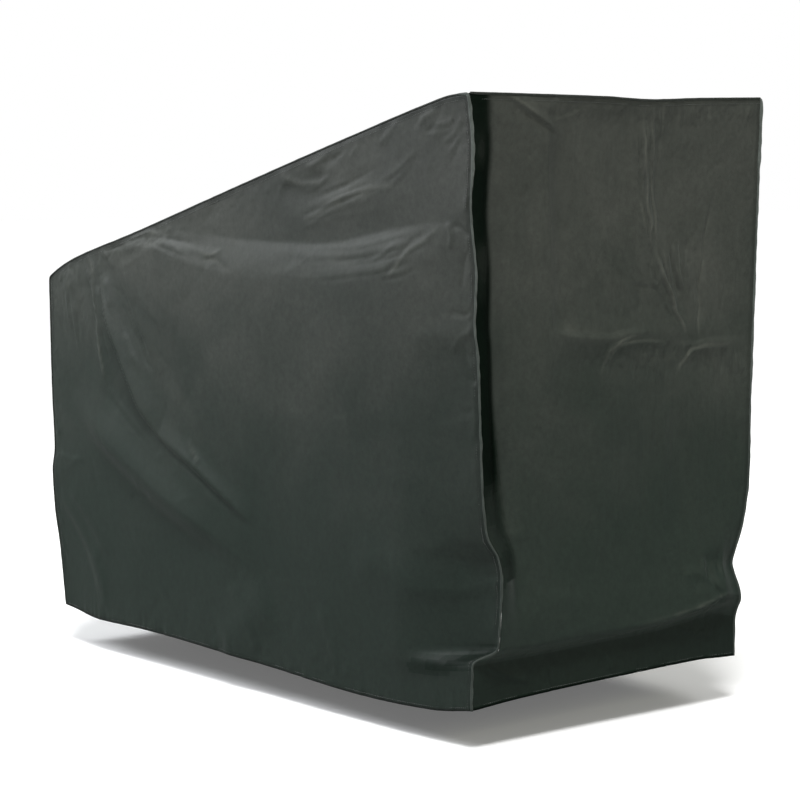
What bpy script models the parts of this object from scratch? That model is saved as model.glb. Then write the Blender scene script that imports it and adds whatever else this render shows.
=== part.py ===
"""A fitted cover for an upright exercise bike, in the shape it hangs in over the bike.

Five sewn panels meet at four seam bindings. +X runs along the bike to its tall
handlebar end, +Y runs across it and +Z up. The origin is the point under the
top panel that the middle of the handlebars holds up. All sizes are in metres.

Inside this file a point of the cover is (back, across, up): how far it is behind
the front panel's plane, how far from the middle plane, and how high over the hem.
"""

import math
from bisect import bisect_right
from collections import namedtuple

import bmesh
import bpy
from mathutils import Vector

# Driving sizes of the sewn cover.
LENGTH = 1.34
WIDTH = 0.72
FRONT_HEIGHT = 1.056
REAR_HEIGHT = 0.696
SUPPORT_BACK = 0.15

# The cloth, and the rolled binding along each seam.
CLOTH = 0.0015
BINDING_RADIUS = 0.004
SEAM_GAP = 0.0003
CORNER_CUT = 0.006

HALF_WIDTH = WIDTH / 2
EDGE_INSET = BINDING_RADIUS + SEAM_GAP
CORNER_INSET = EDGE_INSET + CORNER_CUT / 3

# How far into a panel the wandering of its seams is felt, and how soon folds die out at a seam.
SEAM_REACH = 0.20
LIP_REACH = 0.07
FOLD_FADE = 0.05

LineRow = namedtuple("LineRow", "at up")
SeamRow = namedtuple("SeamRow", "up forward inward")
LipRow = namedtuple("LipRow", "up forward")
LipShareRow = namedtuple("LipShareRow", "across share rise")
LedgeRow = namedtuple("LedgeRow", "back up spread rise")
CrownRow = namedtuple("CrownRow", "back rise")
Fold = namedtuple("Fold", "start middle end half_width rise")
Stretch = namedtuple("Stretch", "end steps")
Corner = namedtuple("Corner", "back sign height hem rows")

# The sloping top edge of both side panels, from the front shoulder to the rear one.
SLOPE = (
    LineRow(0.00, FRONT_HEIGHT),
    LineRow(0.05, 1.051),
    LineRow(0.10, 1.040),
    LineRow(0.18, 1.020),
    LineRow(0.60, 0.909),
    LineRow(1.02, 0.795),
    LineRow(1.24, 0.738),
    LineRow(1.30, 0.716),
    LineRow(LENGTH, REAR_HEIGHT),
)

# The hem of each panel: along the sides by distance back, along the ends by distance across.
LEFT_HEM = (
    LineRow(0.00, -0.002),
    LineRow(0.10, -0.016),
    LineRow(0.28, -0.022),
    LineRow(0.55, -0.014),
    LineRow(1.00, -0.004),
    LineRow(1.16, -0.007),
    LineRow(LENGTH, 0.004),
)
RIGHT_HEM = (
    LineRow(0.00, 0.012),
    LineRow(0.35, -0.006),
    LineRow(0.80, 0.002),
    LineRow(1.10, -0.008),
    LineRow(LENGTH, 0.000),
)
FRONT_HEM = (
    LineRow(-HALF_WIDTH, -0.002),
    LineRow(-0.25, 0.005),
    LineRow(0.00, 0.013),
    LineRow(0.22, 0.017),
    LineRow(HALF_WIDTH, 0.012),
)
REAR_HEM = (
    LineRow(-HALF_WIDTH, 0.004),
    LineRow(-0.12, -0.005),
    LineRow(0.14, 0.003),
    LineRow(HALF_WIDTH, 0.000),
)

# The sag of the two cross seams below their ends.
FRONT_SEAM_SAG = (
    LineRow(-HALF_WIDTH, 0.000),
    LineRow(-0.05, -0.003),
    LineRow(0.07, -0.007),
    LineRow(0.20, -0.003),
    LineRow(HALF_WIDTH, 0.000),
)
REAR_SEAM_SAG = (
    LineRow(-HALF_WIDTH, 0.000),
    LineRow(-0.04, -0.010),
    LineRow(0.10, -0.008),
    LineRow(HALF_WIDTH, 0.000),
)

# How the four upright seams wander from straight lines between hem and top.
FRONT_LEFT_SEAM = (
    SeamRow(0.000, 0.004, 0.006),
    SeamRow(0.082, 0.005, 0.008),
    SeamRow(0.106, 0.030, 0.045),
    SeamRow(0.230, 0.034, 0.048),
    SeamRow(0.266, 0.030, 0.044),
    SeamRow(0.300, 0.022, 0.026),
    SeamRow(0.370, 0.020, 0.017),
    SeamRow(0.620, 0.013, 0.010),
    SeamRow(0.660, 0.009, 0.007),
    SeamRow(0.750, 0.011, 0.008),
    SeamRow(0.860, 0.003, 0.003),
    SeamRow(0.960, 0.007, 0.004),
    SeamRow(FRONT_HEIGHT, 0.000, 0.000),
)
FRONT_RIGHT_SEAM = (
    SeamRow(0.000, 0.000, 0.056),
    SeamRow(0.070, 0.002, 0.058),
    SeamRow(0.094, 0.010, 0.060),
    SeamRow(0.118, 0.020, 0.061),
    SeamRow(0.145, 0.014, 0.064),
    SeamRow(0.180, 0.000, 0.065),
    SeamRow(0.210, 0.002, 0.056),
    SeamRow(0.270, 0.006, 0.039),
    SeamRow(0.345, 0.005, 0.027),
    SeamRow(0.500, 0.003, 0.022),
    SeamRow(0.775, 0.001, 0.011),
    SeamRow(FRONT_HEIGHT, 0.000, 0.000),
)
REAR_LEFT_SEAM = (
    SeamRow(0.000, 0.034, 0.010),
    SeamRow(0.130, 0.020, 0.006),
    SeamRow(0.215, 0.006, 0.003),
    SeamRow(0.290, 0.003, 0.001),
    SeamRow(0.335, 0.009, 0.003),
    SeamRow(0.450, 0.005, 0.001),
    SeamRow(REAR_HEIGHT, 0.000, 0.000),
)
REAR_RIGHT_SEAM = (
    SeamRow(0.000, 0.030, 0.022),
    SeamRow(0.180, 0.016, 0.014),
    SeamRow(0.260, 0.005, 0.010),
    SeamRow(0.450, 0.006, 0.003),
    SeamRow(REAR_HEIGHT, 0.000, 0.000),
)

# The slack of the front panel bellies out low down, turns under in a lip and hangs on to the hem.
LIP = (
    LipRow(0.000, 0.004),
    LipRow(0.070, 0.001),
    LipRow(0.082, 0.002),
    LipRow(0.094, 0.016),
    LipRow(0.106, 0.026),
    LipRow(0.130, 0.026),
    LipRow(0.198, 0.014),
    LipRow(0.300, 0.003),
    LipRow(0.400, 0.000),
    LipRow(FRONT_HEIGHT, 0.000),
)
LIP_UP = 0.094
LIP_SPREAD = 0.06
LIP_ACROSS = (
    LipShareRow(-HALF_WIDTH, 1.00, 0.000),
    LipShareRow(-0.20, 0.90, -0.010),
    LipShareRow(0.06, 0.75, -0.011),
    LipShareRow(0.22, 0.95, 0.002),
    LipShareRow(0.30, 1.10, 0.008),
    LipShareRow(HALF_WIDTH, 1.00, 0.000),
)

# Folds of the front panel, as (across, up) points.
FRONT_FOLDS = (
    Fold((-0.322, 1.050), (-0.312, 0.640), (-0.285, 0.260), 0.030, -0.014),
    Fold((-0.185, 1.045), (-0.182, 0.800), (-0.168, 0.480), 0.026, 0.004),
    Fold((-0.155, 1.045), (-0.148, 0.800), (-0.140, 0.500), 0.022, -0.003),
    Fold((-0.290, 1.044), (-0.225, 1.012), (-0.140, 0.962), 0.026, 0.004),
    Fold((0.055, 1.050), (0.062, 0.860), (0.160, 0.620), 0.026, 0.005),
    Fold((0.240, 0.860), (0.224, 0.740), (0.216, 0.620), 0.024, 0.004),
    Fold((-0.170, 0.632), (0.070, 0.632), (0.340, 0.606), 0.030, 0.005),
    Fold((-0.140, 0.580), (0.080, 0.575), (0.330, 0.555), 0.030, -0.002),
    Fold((0.215, 0.176), (0.265, 0.178), (0.310, 0.182), 0.020, -0.008),
    Fold((-0.050, 0.520), (-0.040, 0.360), (-0.060, 0.200), 0.040, 0.004),
    Fold((0.150, 0.500), (0.165, 0.360), (0.150, 0.220), 0.030, -0.003),
)
FRONT_HOLLOW = 0.008

# Folds of the side panels and of the rear panel, as (back, up) or (across, up) points.
LEFT_FOLDS = (
    Fold((1.265, 0.725), (1.263, 0.670), (1.255, 0.590), 0.026, 0.003),
    Fold((1.200, 0.745), (1.160, 0.620), (1.120, 0.430), 0.030, 0.003),
    Fold((1.150, 0.700), (0.985, 0.455), (0.680, 0.275), 0.036, 0.009),
    Fold((1.250, 0.460), (0.985, 0.320), (0.740, 0.222), 0.054, 0.011),
    Fold((1.040, 0.720), (0.940, 0.600), (0.880, 0.470), 0.045, -0.003),
    Fold((0.545, 0.915), (0.455, 0.890), (0.365, 0.920), 0.030, -0.003),
    Fold((0.430, 0.835), (0.300, 0.865), (0.160, 0.890), 0.030, 0.003),
    Fold((0.000, 0.665), (0.070, 0.640), (0.160, 0.650), 0.026, 0.002),
    Fold((0.050, 0.240), (0.180, 0.210), (0.330, 0.240), 0.045, 0.005),
    Fold((0.560, 0.120), (0.640, 0.060), (0.730, -0.020), 0.050, 0.006),
)
LEFT_LEDGE = (
    LedgeRow(0.00, 0.830, 0.012, 0.000),
    LedgeRow(0.06, 0.820, 0.018, 0.003),
    LedgeRow(0.12, 0.800, 0.034, 0.007),
    LedgeRow(0.22, 0.780, 0.040, 0.013),
    LedgeRow(0.42, 0.753, 0.038, 0.016),
    LedgeRow(0.62, 0.756, 0.036, 0.016),
    LedgeRow(0.80, 0.772, 0.030, 0.013),
    LedgeRow(0.92, 0.788, 0.022, 0.010),
    LedgeRow(1.01, 0.795, 0.014, 0.004),
    LedgeRow(1.07, 0.797, 0.014, 0.000),
    LedgeRow(LENGTH, 0.797, 0.014, 0.000),
)
RIGHT_FOLDS = (
    Fold((1.180, 0.740), (1.100, 0.560), (1.040, 0.380), 0.030, 0.009),
    Fold((1.040, 0.420), (0.880, 0.300), (0.700, 0.260), 0.030, 0.008),
    Fold((0.030, 0.640), (0.160, 0.560), (0.340, 0.540), 0.030, 0.008),
    Fold((0.420, 0.930), (0.330, 0.870), (0.300, 0.760), 0.030, -0.006),
    Fold((0.260, 0.300), (0.330, 0.150), (0.340, -0.020), 0.050, 0.009),
)
RIGHT_LEDGE = (
    LedgeRow(0.00, 0.860, 0.016, 0.000),
    LedgeRow(0.16, 0.820, 0.034, 0.010),
    LedgeRow(0.50, 0.750, 0.036, 0.014),
    LedgeRow(0.82, 0.740, 0.030, 0.010),
    LedgeRow(1.04, 0.770, 0.020, 0.000),
    LedgeRow(LENGTH, 0.770, 0.020, 0.000),
)
LEDGE_DROP = 0.22
REAR_FOLDS = (
    Fold((-0.300, 0.690), (-0.180, 0.520), (-0.150, 0.300), 0.040, 0.009),
    Fold((0.280, 0.690), (0.200, 0.480), (0.230, 0.200), 0.045, 0.008),
    Fold((-0.240, 0.180), (0.020, 0.140), (0.250, 0.200), 0.035, -0.008),
)

# The top panel hangs between the handlebars near its front and the saddle further back.
TOP_CROWN = (
    CrownRow(0.00, 0.000),
    CrownRow(0.14, 0.003),
    CrownRow(0.50, -0.016),
    CrownRow(0.86, 0.001),
    CrownRow(0.96, 0.004),
    CrownRow(1.16, -0.007),
    CrownRow(LENGTH, 0.000),
)
TOP_FOLDS = (
    Fold((0.200, -0.250), (0.400, -0.120), (0.760, -0.060), 0.040, 0.007),
    Fold((0.220, 0.280), (0.420, 0.160), (0.780, 0.090), 0.040, 0.006),
    Fold((1.020, 0.080), (1.140, 0.180), (1.290, 0.300), 0.040, 0.007),
    Fold((1.040, -0.060), (1.160, -0.140), (1.300, -0.260), 0.035, 0.006),
)

# Where the cloth is divided, from the hem up, from the front back and from side to side.
ROW_STRETCHES = (Stretch(0.070, 2), Stretch(0.130, 5), Stretch(0.300, 5), Stretch(FRONT_HEIGHT, 22))
SIDE_STRETCHES = (Stretch(0.06, 3), Stretch(0.60, 14), Stretch(1.30, 27), Stretch(LENGTH, 2))
PLAIN_SIDE_STRETCHES = (Stretch(0.06, 1), Stretch(1.30, 16), Stretch(LENGTH, 1))
FRONT_STRETCHES = (Stretch(0.08, 4), Stretch(0.64, 14), Stretch(WIDTH, 3))
REAR_STRETCHES = (Stretch(WIDTH, 8),)

PANEL_COLOUR = (0.052, 0.058, 0.050, 1.0)
BINDING_COLOUR = (0.040, 0.046, 0.040, 1.0)
CLOTH_ROUGHNESS = 0.62


def divide(stretches):
    """Positions from zero, evenly spaced along each stretch in turn."""
    positions = [0.0]
    for stretch in stretches:
        start = positions[-1]
        step = (stretch.end - start) / stretch.steps
        positions += [start + step * count for count in range(1, stretch.steps + 1)]
    return positions


def read(table, column, at):
    """Value of a table's column, smooth between its rows and never past them."""
    keys = [row[0] for row in table]
    values = [getattr(row, column) for row in table]
    at = min(max(at, keys[0]), keys[-1])
    left = min(bisect_right(keys, at) - 1, len(keys) - 2)
    slopes = [
        (values[i + 1] - values[i]) / (keys[i + 1] - keys[i]) for i in range(len(keys) - 1)
    ]
    span = keys[left + 1] - keys[left]
    t = (at - keys[left]) / span
    start = knot_slope(slopes, left)
    end = knot_slope(slopes, left + 1)
    return (
        values[left] * (1 + 2 * t) * (1 - t) ** 2
        + values[left + 1] * t * t * (3 - 2 * t)
        + span * start * t * (1 - t) ** 2
        - span * end * t * t * (1 - t)
    )


def knot_slope(slopes, knot):
    """Slope of a curve at one of its rows, flat where it turns."""
    if knot == 0 or knot == len(slopes):
        return slopes[min(knot, len(slopes) - 1)]
    before = slopes[knot - 1]
    after = slopes[knot]
    if before * after <= 0:
        return 0.0
    return 2 * before * after / (before + after)


def ease(share):
    """Smooth step from 0 to 1."""
    share = min(max(share, 0.0), 1.0)
    return share * share * (3 - 2 * share)


def fade(distance, reach):
    """1 at a seam, falling smoothly to 0 at the given reach."""
    return 1 - ease(distance / reach)


def bell(distance, half_width):
    """Rounded bump that is 1 in the middle."""
    return math.exp(-((distance / half_width) ** 2))


def fold_relief(folds, first, second):
    """Height of a panel's folds at one point of the panel."""
    here = Vector((first, second))
    total = 0.0
    for fold in folds:
        start = Vector(fold.start)
        middle = Vector(fold.middle)
        end = Vector(fold.end)
        runs = 8
        control = 2 * middle - (start + end) / 2
        best = None
        for count in range(runs):
            t0 = count / runs
            t1 = (count + 1) / runs
            a = start.lerp(control, t0).lerp(control.lerp(end, t0), t0)
            b = start.lerp(control, t1).lerp(control.lerp(end, t1), t1)
            run = b - a
            share = min(max((here - a).dot(run) / run.length_squared, 0.0), 1.0)
            distance = (here - a - run * share).length
            if best is None or distance < best[0]:
                best = (distance, t0 + (t1 - t0) * share)
        distance, along = best
        total += fold.rise * bell(distance, fold.half_width) * ease(4 * min(along, 1 - along) + 0.1)
    return total


def ledge_relief(ledge, back, up):
    """A sagging swoop of slack: the cloth steps out at the ledge and falls back below it."""
    level = read(ledge, "up", back)
    spread = read(ledge, "spread", back)
    rise = read(ledge, "rise", back)
    below = ease((level + spread - up) / (2 * spread))
    return rise * below * bell(max(level - spread - up, 0.0), LEDGE_DROP)


def slope_up(back):
    return read(SLOPE, "up", back)


FRONT_LEFT = Corner(0.0, -1, FRONT_HEIGHT, LEFT_HEM[0].up, FRONT_LEFT_SEAM)
FRONT_RIGHT = Corner(0.0, 1, FRONT_HEIGHT, RIGHT_HEM[0].up, FRONT_RIGHT_SEAM)
REAR_LEFT = Corner(LENGTH, -1, REAR_HEIGHT, LEFT_HEM[-1].up, REAR_LEFT_SEAM)
REAR_RIGHT = Corner(LENGTH, 1, REAR_HEIGHT, RIGHT_HEM[-1].up, REAR_RIGHT_SEAM)


def seam_shift(corner, share):
    """How far an upright seam has moved forward and inward at a share of its height."""
    up = share * corner.height
    return read(corner.rows, "forward", up), read(corner.rows, "inward", up)


def side_point(side, back, share):
    """Point of a side panel, at its distance back and its share of the height there."""
    sign, front, rear, hem_line, folds, ledge = side
    at_front = fade(back, SEAM_REACH)
    at_rear = fade(LENGTH - back, SEAM_REACH)
    front_forward, front_inward = seam_shift(front, share)
    rear_forward, rear_inward = seam_shift(rear, share)
    hem = read(hem_line, "up", back)
    top = slope_up(back)
    up = hem + share * (top - hem)
    seam_distance = min(back, LENGTH - back, top - up)
    slack = fold_relief(folds, back, up) + ledge_relief(ledge, back, up)
    outward = slack * ease(seam_distance / FOLD_FADE)
    inward = front_inward * at_front + rear_inward * at_rear
    shifted_back = back - front_forward * at_front - rear_forward * at_rear
    return shifted_back, sign * (HALF_WIDTH - inward + outward), up


def front_point(across, share):
    """Point of the front panel, at its distance across and its share of the height there."""
    from_left = across + HALF_WIDTH
    from_right = HALF_WIDTH - across
    left_forward, left_inward = seam_shift(FRONT_LEFT, share)
    right_forward, right_inward = seam_shift(FRONT_RIGHT, share)
    nominal = share * FRONT_HEIGHT
    hem = read(FRONT_HEM, "up", across)
    top = FRONT_HEIGHT + read(FRONT_SEAM_SAG, "up", across)
    lip_rise = read(LIP_ACROSS, "rise", across) * bell(nominal - LIP_UP, LIP_SPREAD)
    up = hem + share * (top - hem) + lip_rise * min(nominal / LIP_UP, 1.0)
    belly = read(LIP, "forward", nominal) * read(LIP_ACROSS, "share", across)
    hollow = FRONT_HOLLOW * ease(nominal / 0.4) * math.cos(math.pi * across / WIDTH)
    relief = fold_relief(FRONT_FOLDS, across, nominal)
    seam_distance = min(from_left, from_right, FRONT_HEIGHT - nominal)
    free = (belly - hollow) + relief * ease(seam_distance / FOLD_FADE)
    at_left = fade(from_left, LIP_REACH)
    at_right = fade(from_right, LIP_REACH)
    at_top = fade(FRONT_HEIGHT - nominal, FOLD_FADE)
    free *= 1 - at_top
    forward = free * (1 - at_left - at_right) + left_forward * at_left + right_forward * at_right
    shifted = across + left_inward * fade(from_left, SEAM_REACH) - right_inward * fade(from_right, SEAM_REACH)
    return -forward, shifted, up


def rear_point(across, share):
    """Point of the rear panel, at its distance across and its share of the height there."""
    from_left = across + HALF_WIDTH
    from_right = HALF_WIDTH - across
    at_left = fade(from_left, SEAM_REACH)
    at_right = fade(from_right, SEAM_REACH)
    left_forward, left_inward = seam_shift(REAR_LEFT, share)
    right_forward, right_inward = seam_shift(REAR_RIGHT, share)
    middle_forward = (left_forward + right_forward) / 2
    hem = read(REAR_HEM, "up", across)
    top = REAR_HEIGHT + read(REAR_SEAM_SAG, "up", across)
    up = hem + share * (top - hem)
    outward = fold_relief(REAR_FOLDS, across, up) * ease(min(from_left, from_right, top - up) / FOLD_FADE)
    forward = (
        middle_forward * (1 - at_left - at_right) + left_forward * at_left + right_forward * at_right
    )
    shifted = across + left_inward * at_left - right_inward * at_right
    return LENGTH - forward + outward, shifted, up


def top_point(back, across):
    """Point of the top panel, at its distances back and across."""
    from_seam = min(HALF_WIDTH - abs(across), back, LENGTH - back)
    sag = read(FRONT_SEAM_SAG, "up", across) * fade(back, SEAM_REACH)
    sag += read(REAR_SEAM_SAG, "up", across) * fade(LENGTH - back, SEAM_REACH)
    crown = read(TOP_CROWN, "rise", back) * math.cos(math.pi * across / WIDTH)
    relief = fold_relief(TOP_FOLDS, back, across) * ease(from_seam / FOLD_FADE)
    return back, across, slope_up(back) + sag + crown + relief


SUPPORT_UP = top_point(SUPPORT_BACK, 0.0)[2] - CLOTH / 2
FORWARD = Vector((1, 0, 0))
RIGHTWARD = Vector((0, 1, 0))
UPWARD = Vector((0, 0, 1))

ROWS = divide(ROW_STRETCHES)
ROW_SHARES = [row / FRONT_HEIGHT for row in ROWS]
LEFT = (-1, FRONT_LEFT, REAR_LEFT, LEFT_HEM, LEFT_FOLDS, LEFT_LEDGE)
RIGHT = (1, FRONT_RIGHT, REAR_RIGHT, RIGHT_HEM, RIGHT_FOLDS, RIGHT_LEDGE)


def place(point):
    """A point of the cover in the part's frame."""
    back, across, up = point
    return Vector((SUPPORT_BACK - back, across, up - SUPPORT_UP))


def cut_corner(before, corner, after):
    """Two points that take a binding round a corner."""
    return [
        corner + (before - corner).normalized() * CORNER_CUT,
        corner + (after - corner).normalized() * CORNER_CUT,
    ]


def side_route(side, backs):
    """Line of the seam all round a side panel: up the front, down the slope, down the rear."""
    front = [place(side_point(side, 0.0, share)) for share in ROW_SHARES]
    slope = [place(side_point(side, back, 1.0)) for back in backs]
    rear = [place(side_point(side, LENGTH, share)) for share in reversed(ROW_SHARES)]
    return (
        front[:-1]
        + cut_corner(front[-2], front[-1], slope[1])
        + slope[1:-1]
        + cut_corner(slope[-2], rear[0], rear[1])
        + rear[1:]
    )


def cross_route(point_at, acrosses):
    """Line of a cross seam, ending at the bindings of the two sides."""
    route = [place(point_at(across)) for across in acrosses]
    route[0].y += EDGE_INSET
    route[-1].y -= EDGE_INSET
    return route


def beside(route, index, towards):
    """Point of a panel's edge beside a binding, square to the binding's line."""
    before = route[max(index - 1, 0)]
    after = route[min(index + 1, len(route) - 1)]
    here = route[index]
    tangent = Vector((0, 0, 0))
    for run in (here - before, after - here):
        if run.length > 0:
            tangent += run.normalized()
    tangent.normalize()
    step = towards - tangent * towards.dot(tangent)
    return here + step.normalized() * EDGE_INSET


def collection_of(name):
    collection = bpy.data.collections.new(name)
    bpy.context.scene.collection.children.link(collection)
    return collection


def cloth_material(name, colour):
    material = bpy.data.materials.new(name)
    material.use_nodes = True
    shader = material.node_tree.nodes["Principled BSDF"]
    shader.inputs["Base Color"].default_value = colour
    shader.inputs["Roughness"].default_value = CLOTH_ROUGHNESS
    shader.inputs["Metallic"].default_value = 0.0
    material.diffuse_color = colour
    return material


def sewn_panel(name, columns, rows, point_at, collection):
    """A panel of cloth: a grid laid on its hanging surface and given its thickness."""
    bm = bmesh.new()
    bmesh.ops.create_grid(bm, x_segments=columns - 1, y_segments=rows - 1, size=0.5)
    for vert in bm.verts:
        column = round((vert.co.x + 0.5) * (columns - 1))
        row = round((vert.co.y + 0.5) * (rows - 1))
        vert.co = point_at(column, row)
    mesh = bpy.data.meshes.new(name)
    bm.to_mesh(mesh)
    bm.free()
    mesh.shade_smooth()
    panel = bpy.data.objects.new(name, mesh)
    panel.data.materials.append(cloth_material(name + "_cloth", PANEL_COLOUR))
    thickness = panel.modifiers.new("cloth_thickness", "SOLIDIFY")
    thickness.thickness = CLOTH
    thickness.offset = 0.0
    collection.objects.link(panel)
    return panel


def seam_binding(name, route, collection):
    """A rolled strip of cloth that stands proud along a seam."""
    curve = bpy.data.curves.new(name, "CURVE")
    curve.dimensions = "3D"
    curve.bevel_depth = BINDING_RADIUS
    curve.bevel_resolution = 1
    curve.use_fill_caps = True
    spline = curve.splines.new("POLY")
    spline.points.add(len(route) - 1)
    for spline_point, point in zip(spline.points, route):
        spline_point.co = (*point, 1.0)
    spline.use_smooth = True
    binding = bpy.data.objects.new(name, curve)
    binding.data.materials.append(cloth_material(name + "_cloth", BINDING_COLOUR))
    collection.objects.link(binding)
    return binding


def side_panel(name, side, backs, route, collection):
    """One side panel, with its edges set beside the binding that runs round it."""
    sign = side[0]
    last_column = len(backs) - 1
    last_row = len(ROW_SHARES) - 1
    slope_start = last_row + 2

    def point_at(column, row):
        if sign < 0:
            column = last_column - column
        at_end = column in (0, last_column)
        inner = -FORWARD if column == 0 else FORWARD
        if at_end and row == last_row:
            corner = place(side_point(side, backs[column], 1.0))
            return corner + (inner - UPWARD) * CORNER_INSET
        if at_end:
            index = row if column == 0 else len(route) - 1 - row
            return beside(route, index, inner)
        if row == last_row:
            return beside(route, slope_start + column - 1, -UPWARD)
        return place(side_point(side, backs[column], ROW_SHARES[row]))

    return sewn_panel(name, len(backs), len(ROW_SHARES), point_at, collection)


def end_panel(name, point, acrosses, routes, cross, outward, collection):
    """The front or the rear panel, between the bindings of the two sides and a cross seam."""
    left_route, right_route = routes
    last_column = len(acrosses) - 1
    last_row = len(ROW_SHARES) - 1

    def point_at(column, row):
        if outward < 0:
            column = last_column - column
        if column in (0, last_column):
            route = left_route if column == 0 else right_route
            inner = RIGHTWARD if column == 0 else -RIGHTWARD
            if row == last_row:
                corner = place(point(acrosses[column], 1.0))
                return corner + (inner - UPWARD) * EDGE_INSET
            index = row if outward > 0 else len(route) - 1 - row
            return beside(route, index, inner)
        if row == last_row:
            return beside(cross, column, -UPWARD)
        return place(point(acrosses[column], ROW_SHARES[row]))

    return sewn_panel(name, len(acrosses), len(ROW_SHARES), point_at, collection)


def top_panel(name, backs, acrosses, collection):
    """The sloping top panel, inside the four bindings round it."""
    last_column = len(backs) - 1
    last_row = len(acrosses) - 1

    def point_at(column, row):
        column = last_column - column
        point = place(top_point(backs[column], acrosses[row]))
        if row in (0, last_row):
            point.y += EDGE_INSET if row == 0 else -EDGE_INSET
        if column in (0, last_column):
            point.x += -EDGE_INSET if column == 0 else EDGE_INSET
        return point

    return sewn_panel(name, len(backs), len(acrosses), point_at, collection)


def build():
    for leftover in list(bpy.data.objects):
        bpy.data.objects.remove(leftover)
    cover = collection_of("exercise_bike_cover")
    side_backs = divide(SIDE_STRETCHES)
    plain_backs = divide(PLAIN_SIDE_STRETCHES)
    front_acrosses = [step - HALF_WIDTH for step in divide(FRONT_STRETCHES)]
    rear_acrosses = [step - HALF_WIDTH for step in divide(REAR_STRETCHES)]

    left_route = side_route(LEFT, side_backs)
    right_route = side_route(RIGHT, plain_backs)
    front_cross = cross_route(lambda across: front_point(across, 1.0), front_acrosses)
    rear_cross = cross_route(lambda across: rear_point(across, 1.0), rear_acrosses)

    side_panel("side_left", LEFT, side_backs, left_route, cover)
    side_panel("side_right", RIGHT, plain_backs, right_route, cover)
    routes = (left_route, right_route)
    end_panel("front_panel", front_point, front_acrosses, routes, front_cross, 1, cover)
    end_panel("rear_panel", rear_point, rear_acrosses, routes, rear_cross, -1, cover)
    top_panel("top_panel", plain_backs, rear_acrosses, cover)
    seam_binding("left_binding", left_route, cover)
    seam_binding("right_binding", right_route, cover)
    seam_binding("front_top_binding", front_cross, cover)
    seam_binding("rear_top_binding", rear_cross, cover)


build()
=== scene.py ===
"""Looks of the fitted exercise bike cover: creased cloth panels, stitched bindings and studio light.

The panels hang on the same seams and folds as the solids. A point of the cover is given as
how far it is behind the front panel's plane (back), how far from the middle plane (across),
and how high over the hem (up), in metres, and place() moves it into the part's frame.
"""

import math
from collections import namedtuple
from functools import partial, reduce

import bmesh
import bpy
import numpy as np
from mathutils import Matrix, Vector


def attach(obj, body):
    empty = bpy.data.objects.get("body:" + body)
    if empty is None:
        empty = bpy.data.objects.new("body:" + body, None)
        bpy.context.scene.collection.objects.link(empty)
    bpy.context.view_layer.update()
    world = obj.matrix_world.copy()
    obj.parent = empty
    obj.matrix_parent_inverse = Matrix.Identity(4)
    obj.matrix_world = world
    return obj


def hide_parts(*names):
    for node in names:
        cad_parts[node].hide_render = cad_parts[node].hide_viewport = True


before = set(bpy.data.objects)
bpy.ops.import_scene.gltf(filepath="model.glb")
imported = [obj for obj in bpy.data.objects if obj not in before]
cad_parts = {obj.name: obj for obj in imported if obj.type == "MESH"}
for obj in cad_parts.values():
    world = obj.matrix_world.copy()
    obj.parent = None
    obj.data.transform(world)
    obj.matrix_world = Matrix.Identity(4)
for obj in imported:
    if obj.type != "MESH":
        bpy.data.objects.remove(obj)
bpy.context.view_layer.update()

# Sewn sizes, as in the solids.
LENGTH = 1.34
WIDTH = 0.72
HALF_WIDTH = WIDTH / 2
FRONT_HEIGHT = 1.056
REAR_HEIGHT = 0.696
SUPPORT_BACK = 0.15
SOLID_CLOTH = 0.0015
SEAM_REACH = 0.20
LIP_REACH = 0.07
FOLD_FADE = 0.05

# Sizes of the dressed cloth.
CLOTH = 0.0010
TUCK = 0.0022
SEAM_GRIP = 0.012
CREST = 0.0014
HEM_DEPTH = 0.007
HEM_RISE = 0.0009
HEM_STITCH = HEM_DEPTH * 0.86
SEAM_STITCH = 0.0095
SEAM_ALLOWANCE = 0.010

LineRow = namedtuple("LineRow", "at up")
SeamRow = namedtuple("SeamRow", "up forward inward")
LipRow = namedtuple("LipRow", "up forward")
LipShareRow = namedtuple("LipShareRow", "across share rise")
LedgeRow = namedtuple("LedgeRow", "back up spread rise")
CrownRow = namedtuple("CrownRow", "back rise")
Fold = namedtuple("Fold", "start middle end half_width rise")
Pleat = namedtuple("Pleat", "slow quick rise points")
Crease = namedtuple("Crease", "width rise lean points")
Pale = namedtuple("Pale", "width strength points")
Sheaf = namedtuple("Sheaf", "count width rise points")
Corner = namedtuple("Corner", "height rows")
Crumple = namedtuple("Crumple", "count size rise")
Swell = namedtuple("Swell", "rise size")
Seeds = namedtuple("Seeds", "crumple swell puckers hem upper sheaf")
Dressing = namedtuple("Dressing", "creases pleats sheaves crumple swell crisp seeds")
Side = namedtuple("Side", "sign front rear hem folds ledge dressing pale")


def table(kind, *rows):
    return tuple(kind(*row) for row in rows)


def lines(kind, *rows):
    """Rows of single numbers, each followed by the points of its line."""
    count = len(kind._fields) - 1
    return tuple(kind(*row[:count], row[count:]) for row in rows)


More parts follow.
